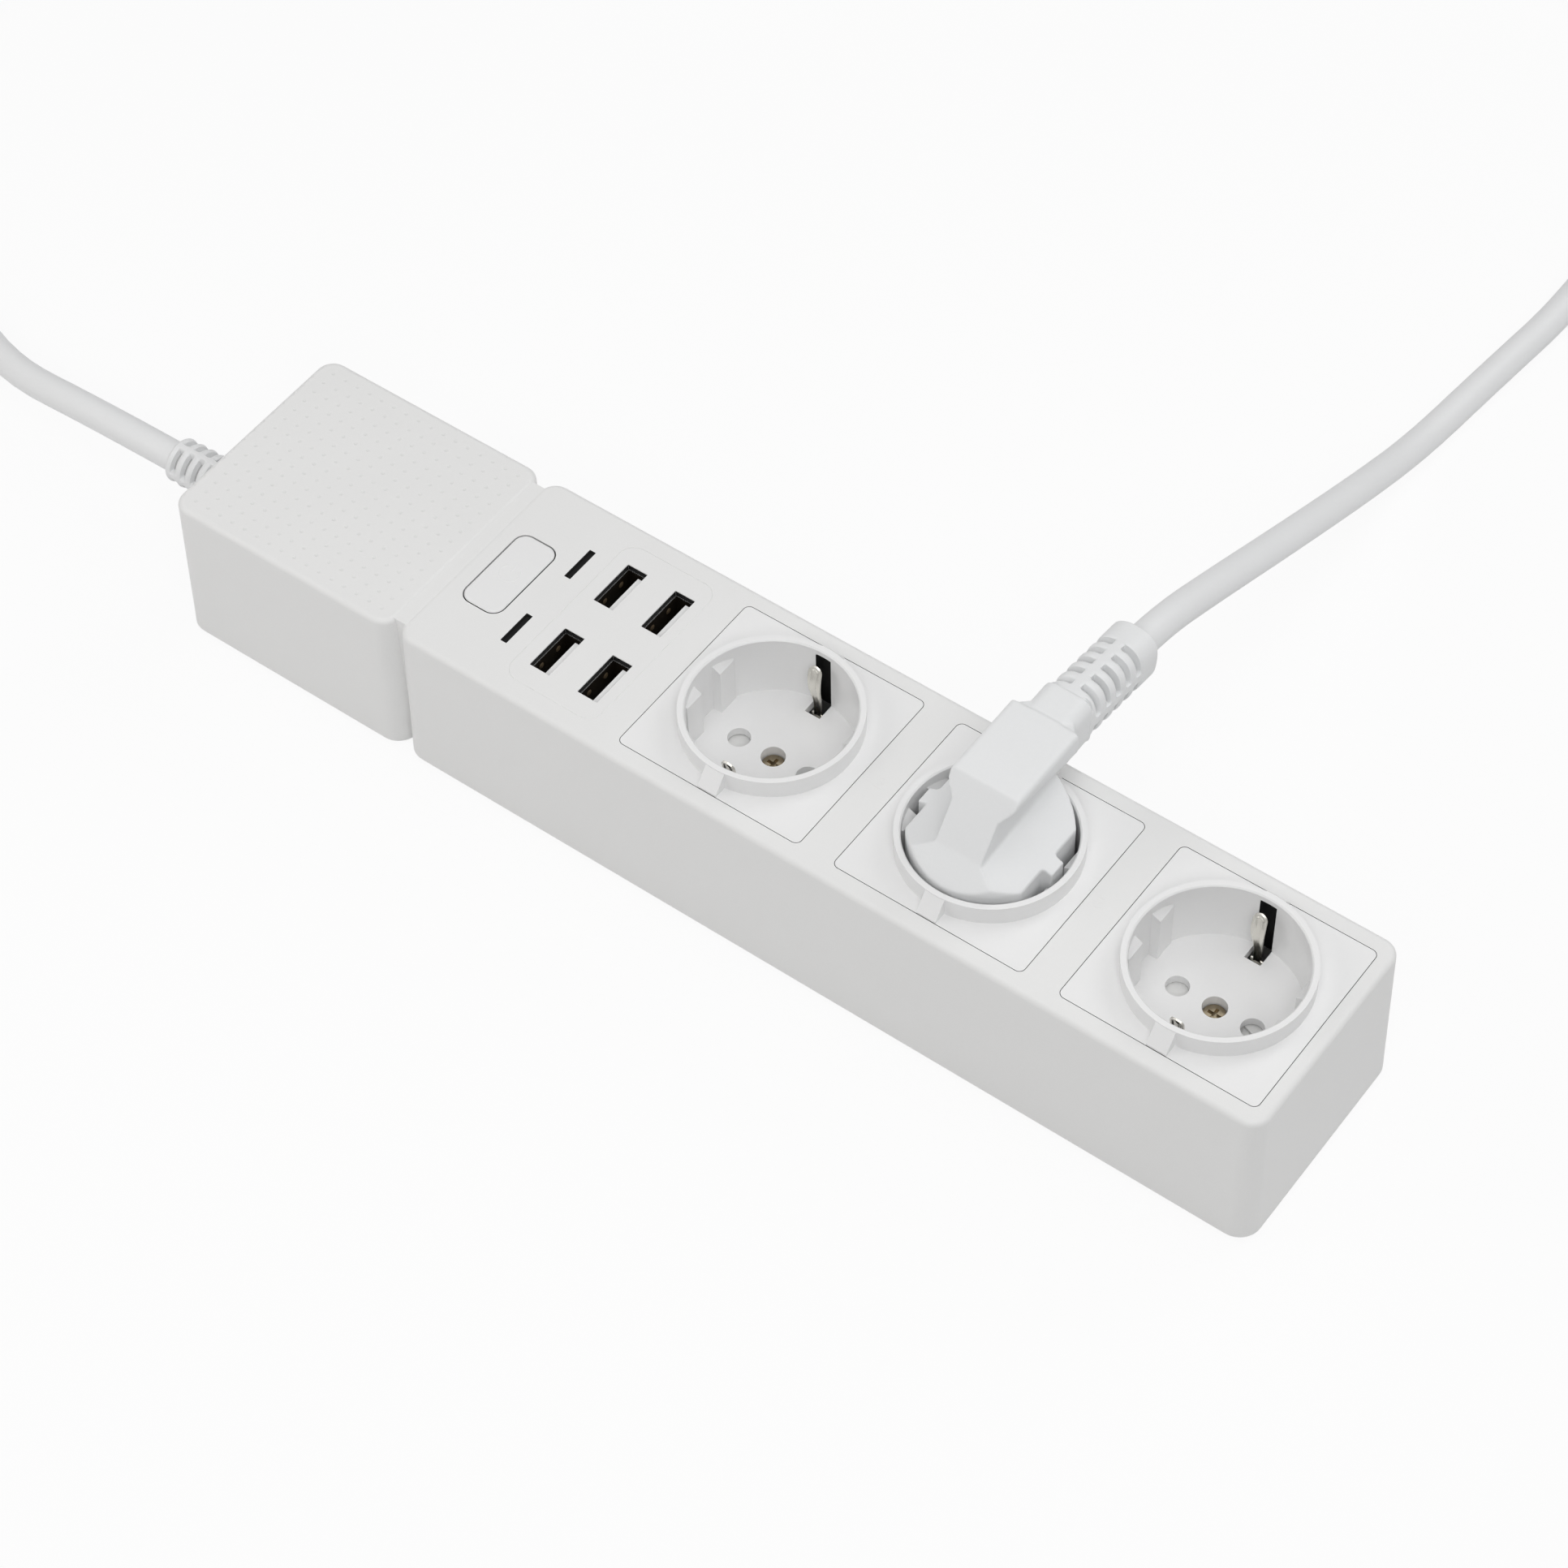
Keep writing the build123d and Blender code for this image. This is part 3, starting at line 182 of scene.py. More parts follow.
def noise(tree, place, scale, detail=2.0, roughness=0.5):
    """Cloudy value from 0 to 1 over an object."""
    sockets = {"Vector": place, "Scale": scale, "Detail": detail, "Roughness": roughness}
    return Wire.node(tree, "ShaderNodeTexNoise", {}, sockets)


def tint(tree, amount, dark, light):
    """Colour between two tones."""
    stops = [(0.0, (*dark, 1.0)), (1.0, (*light, 1.0))]
    return Wire.node(tree, "ShaderNodeValToRGB", {"stops": stops}, {"Fac": amount})


def grip_pits(tree, place):
    """Lattice of small round pits on the control box's top, 1 in the middle of each."""
    parts = [Wire.node(tree, "ShaderNodeSeparateXYZ", {}, {"Vector": place}, axis) / MM for axis in range(3)]
    column = (parts[0] - PIT_START) / PIT_PITCH[0]
    row = parts[1] / PIT_PITCH[1]
    aside = (column - column.math("ROUND", column)) * PIT_PITCH[0]
    along = (row - row.math("ROUND", row)) * PIT_PITCH[1]
    depth = 1.0 - (aside * aside + along * along) / PIT_RADIUS**2
    field = (parts[0] < PIT_END) * (abs(parts[1]) < PIT_REACH) * (parts[2] > PIT_LEVEL)
    return field * depth.math("MAXIMUM", depth, 0.0)


def moulded(name, dark, light, rough, grain, grain_depth, specular=0.5, pits=None):
    """Moulded plastic: a grained skin, slightly uneven in tone and gloss, with any pits painted darker as
    shade.
    """
    material, tree, place = new_finish(name)
    fine = noise(tree, place, grain, 3.0, 0.6)
    broad = noise(tree, place, BROAD_SCALE)
    shade = FINE_SHARE * fine + (1.0 - FINE_SHARE) * broad
    height = fine
    if pits:
        sunk = pits(tree, place)
        # Pits are painted darker, as the shade inside them
        shade = shade - PIT_SHADE * sunk
        height = fine - sunk * (PIT_DEPTH / grain_depth)
    colour = tint(tree, shade, dark, light)
    skin = {"Strength": 1.0, "Distance": grain_depth * MM, "Height": height}
    bump = Wire.node(tree, "ShaderNodeBump", {}, skin)
    sockets = {
        "Base Color": colour,
        "Roughness": rough - GLOSS_SPREAD / 2 + GLOSS_SPREAD * broad,
        "Specular IOR Level": specular,
        "Normal": bump,
    }
    close_finish(tree, Wire.node(tree, "ShaderNodeBsdfPrincipled", {}, sockets))
    return material


def plated(name, dark, light, rough):
    """Plated sheet metal with faint drawing marks."""
    material, tree, place = new_finish(name)
    stretched = Wire.node(tree, "ShaderNodeMapping", {}, {"Vector": place, "Scale": DRAWN_STRETCH})
    marks = noise(tree, stretched, DRAWN_SCALE, 3.0, 0.6)
    broad = noise(tree, place, PLATE_SCALE)
    colour = tint(tree, 0.5 * marks + 0.5 * broad, dark, light)
    skin = {"Strength": 0.4, "Distance": DRAWN_DEPTH * MM, "Height": marks}
    bump = Wire.node(tree, "ShaderNodeBump", {}, skin)
    sockets = {
        "Base Color": colour,
        "Metallic": 1.0,
        "Roughness": rough - GLOSS_SPREAD / 2 + GLOSS_SPREAD * marks,
        "Normal": bump,
    }
    close_finish(tree, Wire.node(tree, "ShaderNodeBsdfPrincipled", {}, sockets))
    return material


def grey(level):
    """An even tone."""
    return (level, level, level)


# A finish for each of the record's slots, then those of single faces
finishes = {
    "housing": moulded(
        "housing_white", (0.78, 0.78, 0.775), (0.84, 0.84, 0.835), 0.52, 2600.0, 0.012, pits=grip_pits
    ),
    "insert": moulded("insert_white", grey(0.82), grey(0.86), 0.4, 1500.0, 0.002),
    "button": moulded("button_white", grey(0.8), grey(0.85), 0.42, 2000.0, 0.005),
    "shutter": moulded("shutter_white", (0.7, 0.7, 0.69), (0.76, 0.76, 0.75), 0.4, 1500.0, 0.004),
    "feet": moulded("pad_rubber", (0.58, 0.58, 0.57), (0.66, 0.66, 0.65), 0.75, 1800.0, 0.01),
    "cord": moulded("sheath_white", (0.78, 0.785, 0.79), (0.83, 0.835, 0.84), 0.5, 1200.0, 0.008),
    "plug": moulded("plug_white", (0.77, 0.78, 0.785), (0.83, 0.835, 0.84), 0.48, 1700.0, 0.012),
    "tie": moulded("tie_dark", grey(0.02), grey(0.05), 0.5, 900.0, 0.01),
    "screw_steel": plated("screw_plate", (0.15, 0.12, 0.08), (0.42, 0.36, 0.26), 0.22),
    "spring_nickel": plated("spring_nickel", (0.62, 0.6, 0.55), (0.86, 0.84, 0.78), 0.24),
    "contact_brass": plated("contact_brass", (0.55, 0.4, 0.16), (0.8, 0.62, 0.28), 0.32),
    "gold_contact": plated("gold_strip", (0.6, 0.42, 0.16), (0.9, 0.7, 0.32), 0.28),
    "shell_steel": plated("shell_steel", grey(0.5), grey(0.78), 0.26),
    "tongue": moulded("tongue_white", grey(0.8), grey(0.85), 0.45, 1500.0, 0.004),
    "lens": moulded("smoked_window", grey(0.004), grey(0.008), 0.35, 900.0, 0.002, 0.1),
    "lamp": moulded("lamp_clear", (0.6, 0.65, 0.7), (0.75, 0.8, 0.85), 0.2, 900.0, 0.002),
    "board": moulded("board_green", (0.01, 0.08, 0.03), (0.03, 0.14, 0.06), 0.4, 900.0, 0.006),
    "relay": moulded("relay_blue", (0.02, 0.04, 0.14), (0.04, 0.07, 0.22), 0.4, 1500.0, 0.005),
    "component_dark": moulded("part_dark", grey(0.02), grey(0.05), 0.5, 1500.0, 0.006),
    "can": plated("can_aluminium", (0.5, 0.5, 0.52), (0.7, 0.7, 0.72), 0.35),
    "fuse_glass": moulded("fuse_clear", (0.6, 0.62, 0.62), (0.7, 0.72, 0.72), 0.15, 900.0, 0.002),
    "plunger": moulded("plunger_red", (0.3, 0.03, 0.03), (0.42, 0.06, 0.05), 0.45, 1500.0, 0.004),
    "live_brown": moulded("lead_brown", (0.08, 0.035, 0.015), (0.13, 0.06, 0.03), 0.45, 1200.0, 0.005),
    "neutral_blue": moulded("lead_blue", (0.02, 0.06, 0.24), (0.04, 0.1, 0.34), 0.45, 1200.0, 0.005),
    "earth_green": moulded("lead_green", (0.12, 0.26, 0.03), (0.3, 0.4, 0.04), 0.45, 60.0, 0.005),
    "seam_shadow": moulded("seam_shadow", grey(0.03), grey(0.06), 0.8, 900.0, 0.004, 0.1),
    "slot_shade": moulded("slot_shade", grey(0.45), grey(0.5), 0.7, 1500.0, 0.004, 0.2),
    "rib_shade": moulded("rib_shade", grey(0.68), grey(0.72), 0.5, 1500.0, 0.002),
    "liner_and_painted_shade": moulded("liner_and_painted_shade", grey(0.004), grey(0.01), 0.6, 900.0, 0.004, 0.1),
    "shell_inside_painted_shade": moulded(
        "shell_inside_painted_shade", (0.004, 0.003, 0.002), (0.012, 0.009, 0.006), 0.6, 700.0, 0.01, 0.1
    ),
    "shell_spring_painted_shade": moulded("shell_spring_painted_shade", (0.05, 0.035, 0.02), (0.1, 0.075, 0.045), 0.5, 900.0, 0.01, 0.2),
}
for entry in frame["record"]["subparts"]:
    carried = nodes[entry["node"]]
    carried.data.materials.clear()
    carried.data.materials.append(finishes[entry["material_slot"]])


def at(x, y, z):
    """Point in metres from millimetres."""
    return Vector((x * MM, y * MM, z * MM))


UPWARD = Vector((0, 0, 1))
RIGHTWARD = Vector((1, 0, 0))
CORNERS = ((-1, -1), (1, -1), (1, 1), (-1, 1))


def keep(name, mesh, slot, body="strip", stands_for=(), more=()):
    """Puts a finished mesh in the scene, on its body and in its finishes."""
    piece = bpy.data.objects.new(name, mesh)
    bpy.context.scene.collection.objects.link(piece)
    for finish in (slot, *more):
        mesh.materials.append(finishes[finish])
    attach(piece, body)
    if stands_for:
        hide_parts(*stands_for)
    return piece


def form_of(node):
    """Welded copy of a solid, with its flat faces whole again."""
    form = bmesh.new()
    form.from_mesh(nodes[node].data)
    bmesh.ops.remove_doubles(form, verts=form.verts, dist=WELD * MM)
    bmesh.ops.dissolve_limit(form, angle_limit=FLAT_ANGLE, verts=form.verts, edges=form.edges)
    return form


def mesh_of(form, name, smooth_angle=40.0):
    """Mesh from a form, shaded smooth except across its sharp edges."""
    for face in form.faces:
        face.smooth = True
    mesh = bpy.data.meshes.new(name)
    form.to_mesh(mesh)
    form.free()
    mesh.set_sharp_from_angle(angle=math.radians(smooth_angle))
    return mesh


def outline_gap(point, centre, half, radius):
    """Distance of a point, in millimetres, from a rectangle with rounded corners."""
    over_x = abs(point.x / MM - centre[0]) - half[0] + radius
    over_y = abs(point.y / MM - centre[1]) - half[1] + radius
    outside = math.hypot(max(over_x, 0), max(over_y, 0))
    return outside + min(max(over_x, over_y), 0) - radius


# Where walls are parted at the top face, and how far down a seam's walls are painted dark as shadow
SEAM_SPLIT = TOP + 0.02
SEAM_LOWEST = 0.9 * TOP


def soft_edged(name, node, slot, round_off, body="strip", crevices=()):
    """A solid's own form with its edges rounded; walls on its crevices' outlines are painted dark, as
    shadow.
    """
    form = form_of(node)
    if crevices:
        whole = [*form.verts, *form.edges, *form.faces]
        bmesh.ops.bisect_plane(form, geom=whole, plane_co=at(0, 0, SEAM_SPLIT), plane_no=UPWARD)
    sharp = []
    for edge in form.edges:
        if len(edge.link_faces) == 2 and edge.calc_face_angle() > SHARP_ANGLE:
            sharp.append(edge)
    bmesh.ops.bevel(
        form,
        geom=sharp,
        offset=round_off * MM,
        offset_type="OFFSET",
        segments=2,
        profile=0.5,
        affect="EDGES",
        clamp_overlap=True,
    )
    for face in form.faces:
        middle = face.calc_center_median()
        if abs(face.normal.z) < UPRIGHT and SEAM_LOWEST < middle.z / MM < TOP:
            if any(abs(outline_gap(middle, *crevice)) < ON_OUTLINE for crevice in crevices):
                face.material_index = 1
    piece = keep(name, mesh_of(form, name), slot, body, (node,), ("seam_shadow",))
    weighted = piece.modifiers.new("even_shading", "WEIGHTED_NORMAL")
    weighted.keep_sharp = True
    return piece


def soft_moulded(name, node, slot, voxel, rounds, shaping, cut_at, cut_way):
    """A solid's own form, shaped a little, as one soft moulding up to where another piece goes on."""
    rough = bpy.data.objects.new(name + "_rough", nodes[node].data.copy())
    for vertex in rough.data.vertices:
        vertex.co += shaping(vertex.co)
    bpy.context.scene.collection.objects.link(rough)
    remesh = rough.modifiers.new("skin", "REMESH")
    remesh.mode = "VOXEL"
    remesh.voxel_size = voxel * MM
    graph = bpy.context.evaluated_depsgraph_get()
    mesh = bpy.data.meshes.new_from_object(rough.evaluated_get(graph))
    bpy.data.objects.remove(rough)
    form = bmesh.new()
    form.from_mesh(mesh)
    bpy.data.meshes.remove(mesh)
    for _ in range(rounds):
        bmesh.ops.smooth_vert(
            form, verts=form.verts, factor=0.5, use_axis_x=True, use_axis_y=True, use_axis_z=True
        )
    whole = [*form.verts, *form.edges, *form.faces]
    bmesh.ops.bisect_plane(form, geom=whole, plane_co=cut_at, plane_no=cut_way, clear_outer=True)
    open_edges = [edge for edge in form.edges if edge.is_boundary]
    bmesh.ops.contextual_create(form, geom=open_edges)
    return keep(name, mesh_of(form, name, smooth_angle=60.0), slot, "strip", (node,))


def ease(low, high, value):
    """Smooth step from 0 at low to 1 at high."""
    share = min(max((value - low) / (high - low), 0.0), 1.0)
    return share * share * (3.0 - 2.0 * share)


# Rings of a ribbed sleeve: their wear, and how softly slots and bars begin, in millimetres
SLEEVE_SIDES = 112
RING_WEAR = 0.35
WEAR_REACH = (0.6, 1.7)
SLOT_EASE = 0.1
BAR_EASE = 0.4
SLOT_FLOOR = 0.95
STATION_STEP = 0.15


def ribbed_sleeve(name, slot, start, way, across, profile, squareness, slots, depth, bar, stands_for=()):
    """Sleeve of rings and bars along a way; profile gives its half width and half height at each station."""
    up = across.cross(way)
    form = bmesh.new()
    loops = []
    middles = [(low + high) / 2 for low, high in slots]
    for station, half_width, half_height in profile:
        sunk = 0.0
        nearest = min(abs(station - middle) for middle in middles)
        worn = RING_WEAR * (1.0 - ease(*WEAR_REACH, nearest))
        for low, high in slots:
            opened = ease(low - SLOT_EASE, low + SLOT_EASE, station)
            closed = ease(high - SLOT_EASE, high + SLOT_EASE, station)
            sunk = max(sunk, opened * (1.0 - closed))
        loop = []
        for side in range(SLEEVE_SIDES):
            angle = 2 * math.pi * side / SLEEVE_SIDES
            flat_x = abs(math.cos(angle)) / half_width
            flat_y = abs(math.sin(angle)) / half_height
            reach = (flat_x**squareness + flat_y**squareness) ** (-1 / squareness)
            x = reach * math.cos(angle)
            y = reach * math.sin(angle)
            beside = ease(bar - SLOT_EASE, bar + BAR_EASE, min(abs(x), abs(y)))
            shrink = 1.0 - max(depth * sunk * beside, worn * beside) / reach
            place = at(*start) + (way * station + across * (x * shrink) + up * (y * shrink)) * MM
            loop.append((form.verts.new(place), sunk * beside))
        loops.append(loop)
    for near, far in zip(loops, loops[1:]):
        for side in range(SLEEVE_SIDES):
            after = (side + 1) % SLEEVE_SIDES
            corners = (near[side], near[after], far[after], far[side])
            wall = form.faces.new([corner for corner, low in corners])
            # The deepest slot floors are painted darker, as shade in the slots
            if min(low for corner, low in corners) > SLOT_FLOOR:
                wall.material_index = 1
    for loop in (loops[0], loops[-1]):
        form.faces.new([corner for corner, low in loop])
    bmesh.ops.recalc_face_normals(form, faces=form.faces)
    return keep(name, mesh_of(form, name, smooth_angle=60.0), slot, "strip", stands_for, ("slot_shade",))


# Camera, placed from the photograph's own perspective
CAMERA_PLACE = (359.6, -458.5, 767.5)
CAMERA_ACROSS = (0.80565, 0.59213, -0.01765)
CAMERA_BACK = (0.37456, -0.48609, 0.78957)
camera_data = bpy.data.cameras.new("photo_camera")
camera_data.sensor_width = 36.0
camera_data.lens = 96.16
camera_data.clip_start = 0.01
camera_data.clip_end = 20.0
camera = bpy.data.objects.new("photo_camera", camera_data)
bpy.context.scene.collection.objects.link(camera)
across = Vector(CAMERA_ACROSS)
back = Vector(CAMERA_BACK).normalized()
up = back.cross(across).normalized()
across = up.cross(back)
turn = Matrix((across, up, back)).transposed().to_4x4()
camera.matrix_world = Matrix.Translation(at(*CAMERA_PLACE)) @ turn
bpy.context.scene.camera = camera

# Housing, socket faces, outlet panel and button, with dark seams where the photograph has them
RIB_TOP_LEAN = (0.3, 0.95)
RIB_TOP_AREA = MM * MM
# Seam walls round the plates, windows and button are painted dark, as shadow in the gaps
seamed_half = (PLATE_HALF[0] + PLATE_SEAM, PLATE_HALF[1] + PLATE_SEAM)
housing_seams = [((x, 0.0), seamed_half, PLATE_RADIUS + PLATE_SEAM) for x in SOCKETS]
housing_seams += [((WINDOW_X, side * WINDOW_Y), WINDOW_HALF, WINDOW_RADIUS) for side in (-1, 1)]
soft_edged("housing_shell", "top_housing", "housing", HOUSING_ROUND, crevices=housing_seams)
for number, x in enumerate(SOCKETS, start=1):
    plate_seam = ((x, 0.0), PLATE_HALF, PLATE_RADIUS)
    insert = f"socket_insert_{number}"
    face = soft_edged(f"socket_face_{number}", insert, "insert", EDGE_ROUND, crevices=[plate_seam])
    # Rib tops that lean up towards the lamps are painted darker, as shade
    face.data.materials.append(finishes["rib_shade"])
    for part in face.data.polygons:
        off_middle = math.hypot(part.center.x / MM - x, part.center.y / MM)
        leans = RIB_TOP_LEAN[0] < part.normal.z < RIB_TOP_LEAN[1]
        if leans and part.area > RIB_TOP_AREA and off_middle < WELL_RADIUS:
            part.material_index = 2
soft_edged("usb_face", "usb_panel", "housing", EDGE_ROUND)
button_seam = ((BUTTON_X, 0.0), BUTTON_HALF, BUTTON_RADIUS)
soft_edged("button_cap", "power_button", "button", EDGE_ROUND, "button", [button_seam])

# Mains plug: its body, the web and block of its handle, and the ribbed tail that its cord comes out of
TAIL_START = (PLUG_X, 29.2, FLOOR + 28.7)
TAIL_FALL = math.atan(0.152)
TAIL_LENGTH = 26.5
TAIL_HALF = (6.3, 7.0)
TAIL_SINK = 1.0
TAIL_STATIONS = 181
TAIL_SLOTS = 5
TAIL_PITCH = 4.04
TAIL_SLOT = (1.6, 3.3)
TAIL_SQUARENESS = 2.7
TAIL_SLOT_DEPTH = 2.3
TAIL_BAR = 1.2
tail_way = Vector((0, math.cos(TAIL_FALL), -math.sin(TAIL_FALL)))
GRIP_SLOPE = 1.38
GRIP_SLOPE_START = -2.5
GRIP_HALF = 9.0
GRIP_TOP = 36.7
WEB_HALF = 6.0
WEB_LOW = 22.0
WEB_FADE = (4.0, 16.0)
SHELF_HEIGHT = 30.9
SHELF_LIFT = 3.1
FLARE = (30.5, 34.9)
FLARE_REACH = 2.8
PLUG_VOXEL = 0.36
PLUG_ROUNDS = 2


def grip_shaping(point):
    """How far a point of the handle moves, so that its web is straight and its block is hollowed below."""
    across = point.x / MM - PLUG_X
    along = point.y / MM
    height = point.z / MM - FLOOR
    if height < WEB_LOW or height > FLARE[1] or along > WEB_FADE[1] or abs(across) > GRIP_HALF:
        return Vector((0, 0, 0))
    share = 1.0 - ease(*WEB_FADE, along)
    below_shelf = ease(WEB_LOW, SHELF_HEIGHT, height)
    above_shelf = ease(SHELF_HEIGHT + 0.1, GRIP_TOP, height)
    lift = SHELF_LIFT * below_shelf * (1.0 - above_shelf)
    half = WEB_HALF + FLARE_REACH * ease(*FLARE, height + lift)
    slide = lift / GRIP_SLOPE if along < GRIP_SLOPE_START else 0.0
    return at(math.copysign(half, across) - across, slide, lift) * share


plug_body = soft_moulded(
    "plug_body", "mains_plug", "plug", PLUG_VOXEL, PLUG_ROUNDS, grip_shaping, at(*TAIL_START), tail_way
)
cord_hold = CORD_RADIUS - 0.2
tail_profile = [(STATION_STEP * step - TAIL_SINK, *TAIL_HALF) for step in range(TAIL_STATIONS)]
tail_profile += [(26.3, 6.1, 6.8), (TAIL_LENGTH, 5.5, 6.2), (TAIL_LENGTH, cord_hold, cord_hold)]
tail_slots = [[TAIL_PITCH * row + edge for edge in TAIL_SLOT] for row in range(TAIL_SLOTS)]
plug_tail = ribbed_sleeve(
    "plug_tail",
    "plug",
    TAIL_START,
    tail_way,
    RIGHTWARD,
    tail_profile,
    TAIL_SQUARENESS,
    tail_slots,
    TAIL_SLOT_DEPTH,
    TAIL_BAR,
)

# Strain relief where the cord leaves the control box
RELIEF_LENGTH = 26.0
RELIEF_RADIUS = 6.5
FLANGE_RADIUS = 9.0
FLANGE_FACE = -2.8
RELIEF_STATIONS = 171
RELIEF_SLOTS = 7
RELIEF_TAPER = 0.85
RELIEF_PITCH = 3.3
RELIEF_SLOT = (3.15, 1.65)
RELIEF_SLOT_DEPTH = 1.7
RELIEF_BAR = 0.9
relief_profile = [(-4.8, FLANGE_RADIUS, FLANGE_RADIUS), (FLANGE_FACE, FLANGE_RADIUS, FLANGE_RADIUS)]
relief_profile.append((FLANGE_FACE, RELIEF_RADIUS, RELIEF_RADIUS))
for step in range(RELIEF_STATIONS):
    station = STATION_STEP * step
    radius = RELIEF_RADIUS - RELIEF_TAPER * station / RELIEF_LENGTH
    relief_profile.append((station, radius, radius))
relief_profile += [(25.8, 5.5, 5.5), (RELIEF_LENGTH, 5.1, 5.1), (RELIEF_LENGTH, cord_hold, cord_hold)]
relief_slots = []
for row in range(RELIEF_SLOTS):
    relief_slots.append([RELIEF_LENGTH - edge - RELIEF_PITCH * row for edge in RELIEF_SLOT])
relief_sleeve = ribbed_sleeve(
    "relief_sleeve",
    "cord",
    (LEFT_END, 0.0, CORD_HEIGHT),
    Vector((-1, 0, 0)),
    Vector((0, 1, 0)),
    relief_profile,
    2.0,
    relief_slots,
    RELIEF_SLOT_DEPTH,
    RELIEF_BAR,
    ("cord_grommet",),
)

# Mains cord: from the relief down to the floor, round a tied coil, and up to the plug
COIL_CENTRE = (-207.4, 272.2)
COIL_RADIUS = 43.0
COIL_IN = 26.0
COIL_OUT = 37.0
COIL_TURNS = 2
COIL_LOW = 4.8
COIL_HIGH = 16.4
TURN_POINTS = 16


def coil_point(heading, height):
    """Point of the coil where the cord goes that way, turning left."""
    place = math.radians(heading - 90.0)
    x = COIL_CENTRE[0] + COIL_RADIUS * math.cos(place)
    return (x, COIL_CENTRE[1] + COIL_RADIUS * math.sin(place), height)


route = [
    (-137.5, 0, CORD_HEIGHT),
    (-192.0, 0, CORD_HEIGHT),
    (-252.0, 4.0, 4.1),
    (-300.0, 44.0, 4.0),
    (-338.0, 80.0, 4.0),
    (-347.0, 124.0, 4.0),
    (-317.0, 157.0, 4.0),
    (-275.0, 187.6, 4.0),
    (-231.7, 212.6, 4.0),
]
wound = 360.0 * COIL_TURNS + COIL_OUT - COIL_IN
steps = TURN_POINTS * COIL_TURNS
for step in range(steps + 1):
    share = step / steps
    route.append(coil_point(COIL_IN + wound * share, COIL_LOW + (COIL_HIGH - COIL_LOW) * share))
route += [
    (-141.6, 268.0, 11.5),
    (-96.3, 300.9, 4.2),
    (-48.5, 333.8, 4.0),
    (2.7, 365.1, 4.0),
    (48.0, 340.0, 4.0),
    (65.0, 292.0, 4.0),
    (68.2, 252.0, 4.0),
    (64.4, 216.0, 4.0),
    (61.8, 186.0, 4.3),
    (PLUG_X, 157.0, 15.4),
    (PLUG_X, 122.0, 30.0),
    (PLUG_X, 88.0, 44.8),
    (PLUG_X, 66.3, 53.66),
    (PLUG_X, 55.4, 55.32),
]
sheath = bpy.data.curves.new("mains_cord", "CURVE")
sheath.dimensions = "3D"
sheath.bevel_depth = CORD_RADIUS * MM
sheath.bevel_resolution = 8
sheath.resolution_u = 10
sheath.use_fill_caps = True
line = sheath.splines.new("NURBS")
line.points.add(len(route) - 1)
for point, place in zip(line.points, route):
    point.co = (*at(*place), 1.0)
line.order_u = 3
line.use_endpoint_u = True
cord = bpy.data.objects.new("mains_cord", sheath)
bpy.context.scene.collection.objects.link(cord)
sheath.materials.append(finishes["cord"])
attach(cord, "strip")
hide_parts("cord_start", "cord_coil", "cord_end")
at(LEFT_END, 0, CORD_HEIGHT)

# A low dome's rings: share of its radius, share of its height
DOME_SIDES = 12
DOME_RINGS = ((0.35, 0.92), (0.7, 0.6), (1.0, -0.1))


def dome(form, centre, out, side, radius, height, finish=0):
    """Adds a low round swelling on a face."""
    other = out.cross(side)
    crown = form.verts.new(centre + out * height)
    rings = []
    for share, rise in DOME_RINGS:
        ring = []
        for step in range(DOME_SIDES):
            angle = 2 * math.pi * step / DOME_SIDES
            flat = side * math.cos(angle) + other * math.sin(angle)
            ring.append(form.verts.new(centre + flat * (radius * share) + out * (height * rise)))
        rings.append(ring)
    for step in range(DOME_SIDES):
        after = (step + 1) % DOME_SIDES
        made = [form.faces.new((crown, rings[0][step], rings[0][after]))]
        for inner, outer in zip(rings, rings[1:]):
            made.append(form.faces.new((inner[step], outer[step], outer[after], inner[after])))
        for face in made:
            face.material_index = finish
    form.faces.new(rings[-1][::-1]).material_index = finish


def thin_wall(form, inner, outer, low, high, closed, finish=0):
    """Adds an upright wall between two outlines, as a ring or with two ends."""
    loops = []
    for outline, height in ((inner, low), (inner, high), (outer, high), (outer, low)):
        loops.append([form.verts.new(at(x, y, height)) for x, y in outline])
    count = len(inner)
    made = []
    for place in range(count if closed else count - 1):
        after = (place + 1) % count
        for here, there in zip(loops, loops[1:] + loops[:1]):
            made.append(form.faces.new((here[place], here[after], there[after], there[place])))
    if not closed:
        made += [form.faces.new([loop[end] for loop in loops]) for end in (0, count - 1)]
    for face in made:
        face.material_index = finish
    bmesh.ops.recalc_face_normals(form, faces=made)
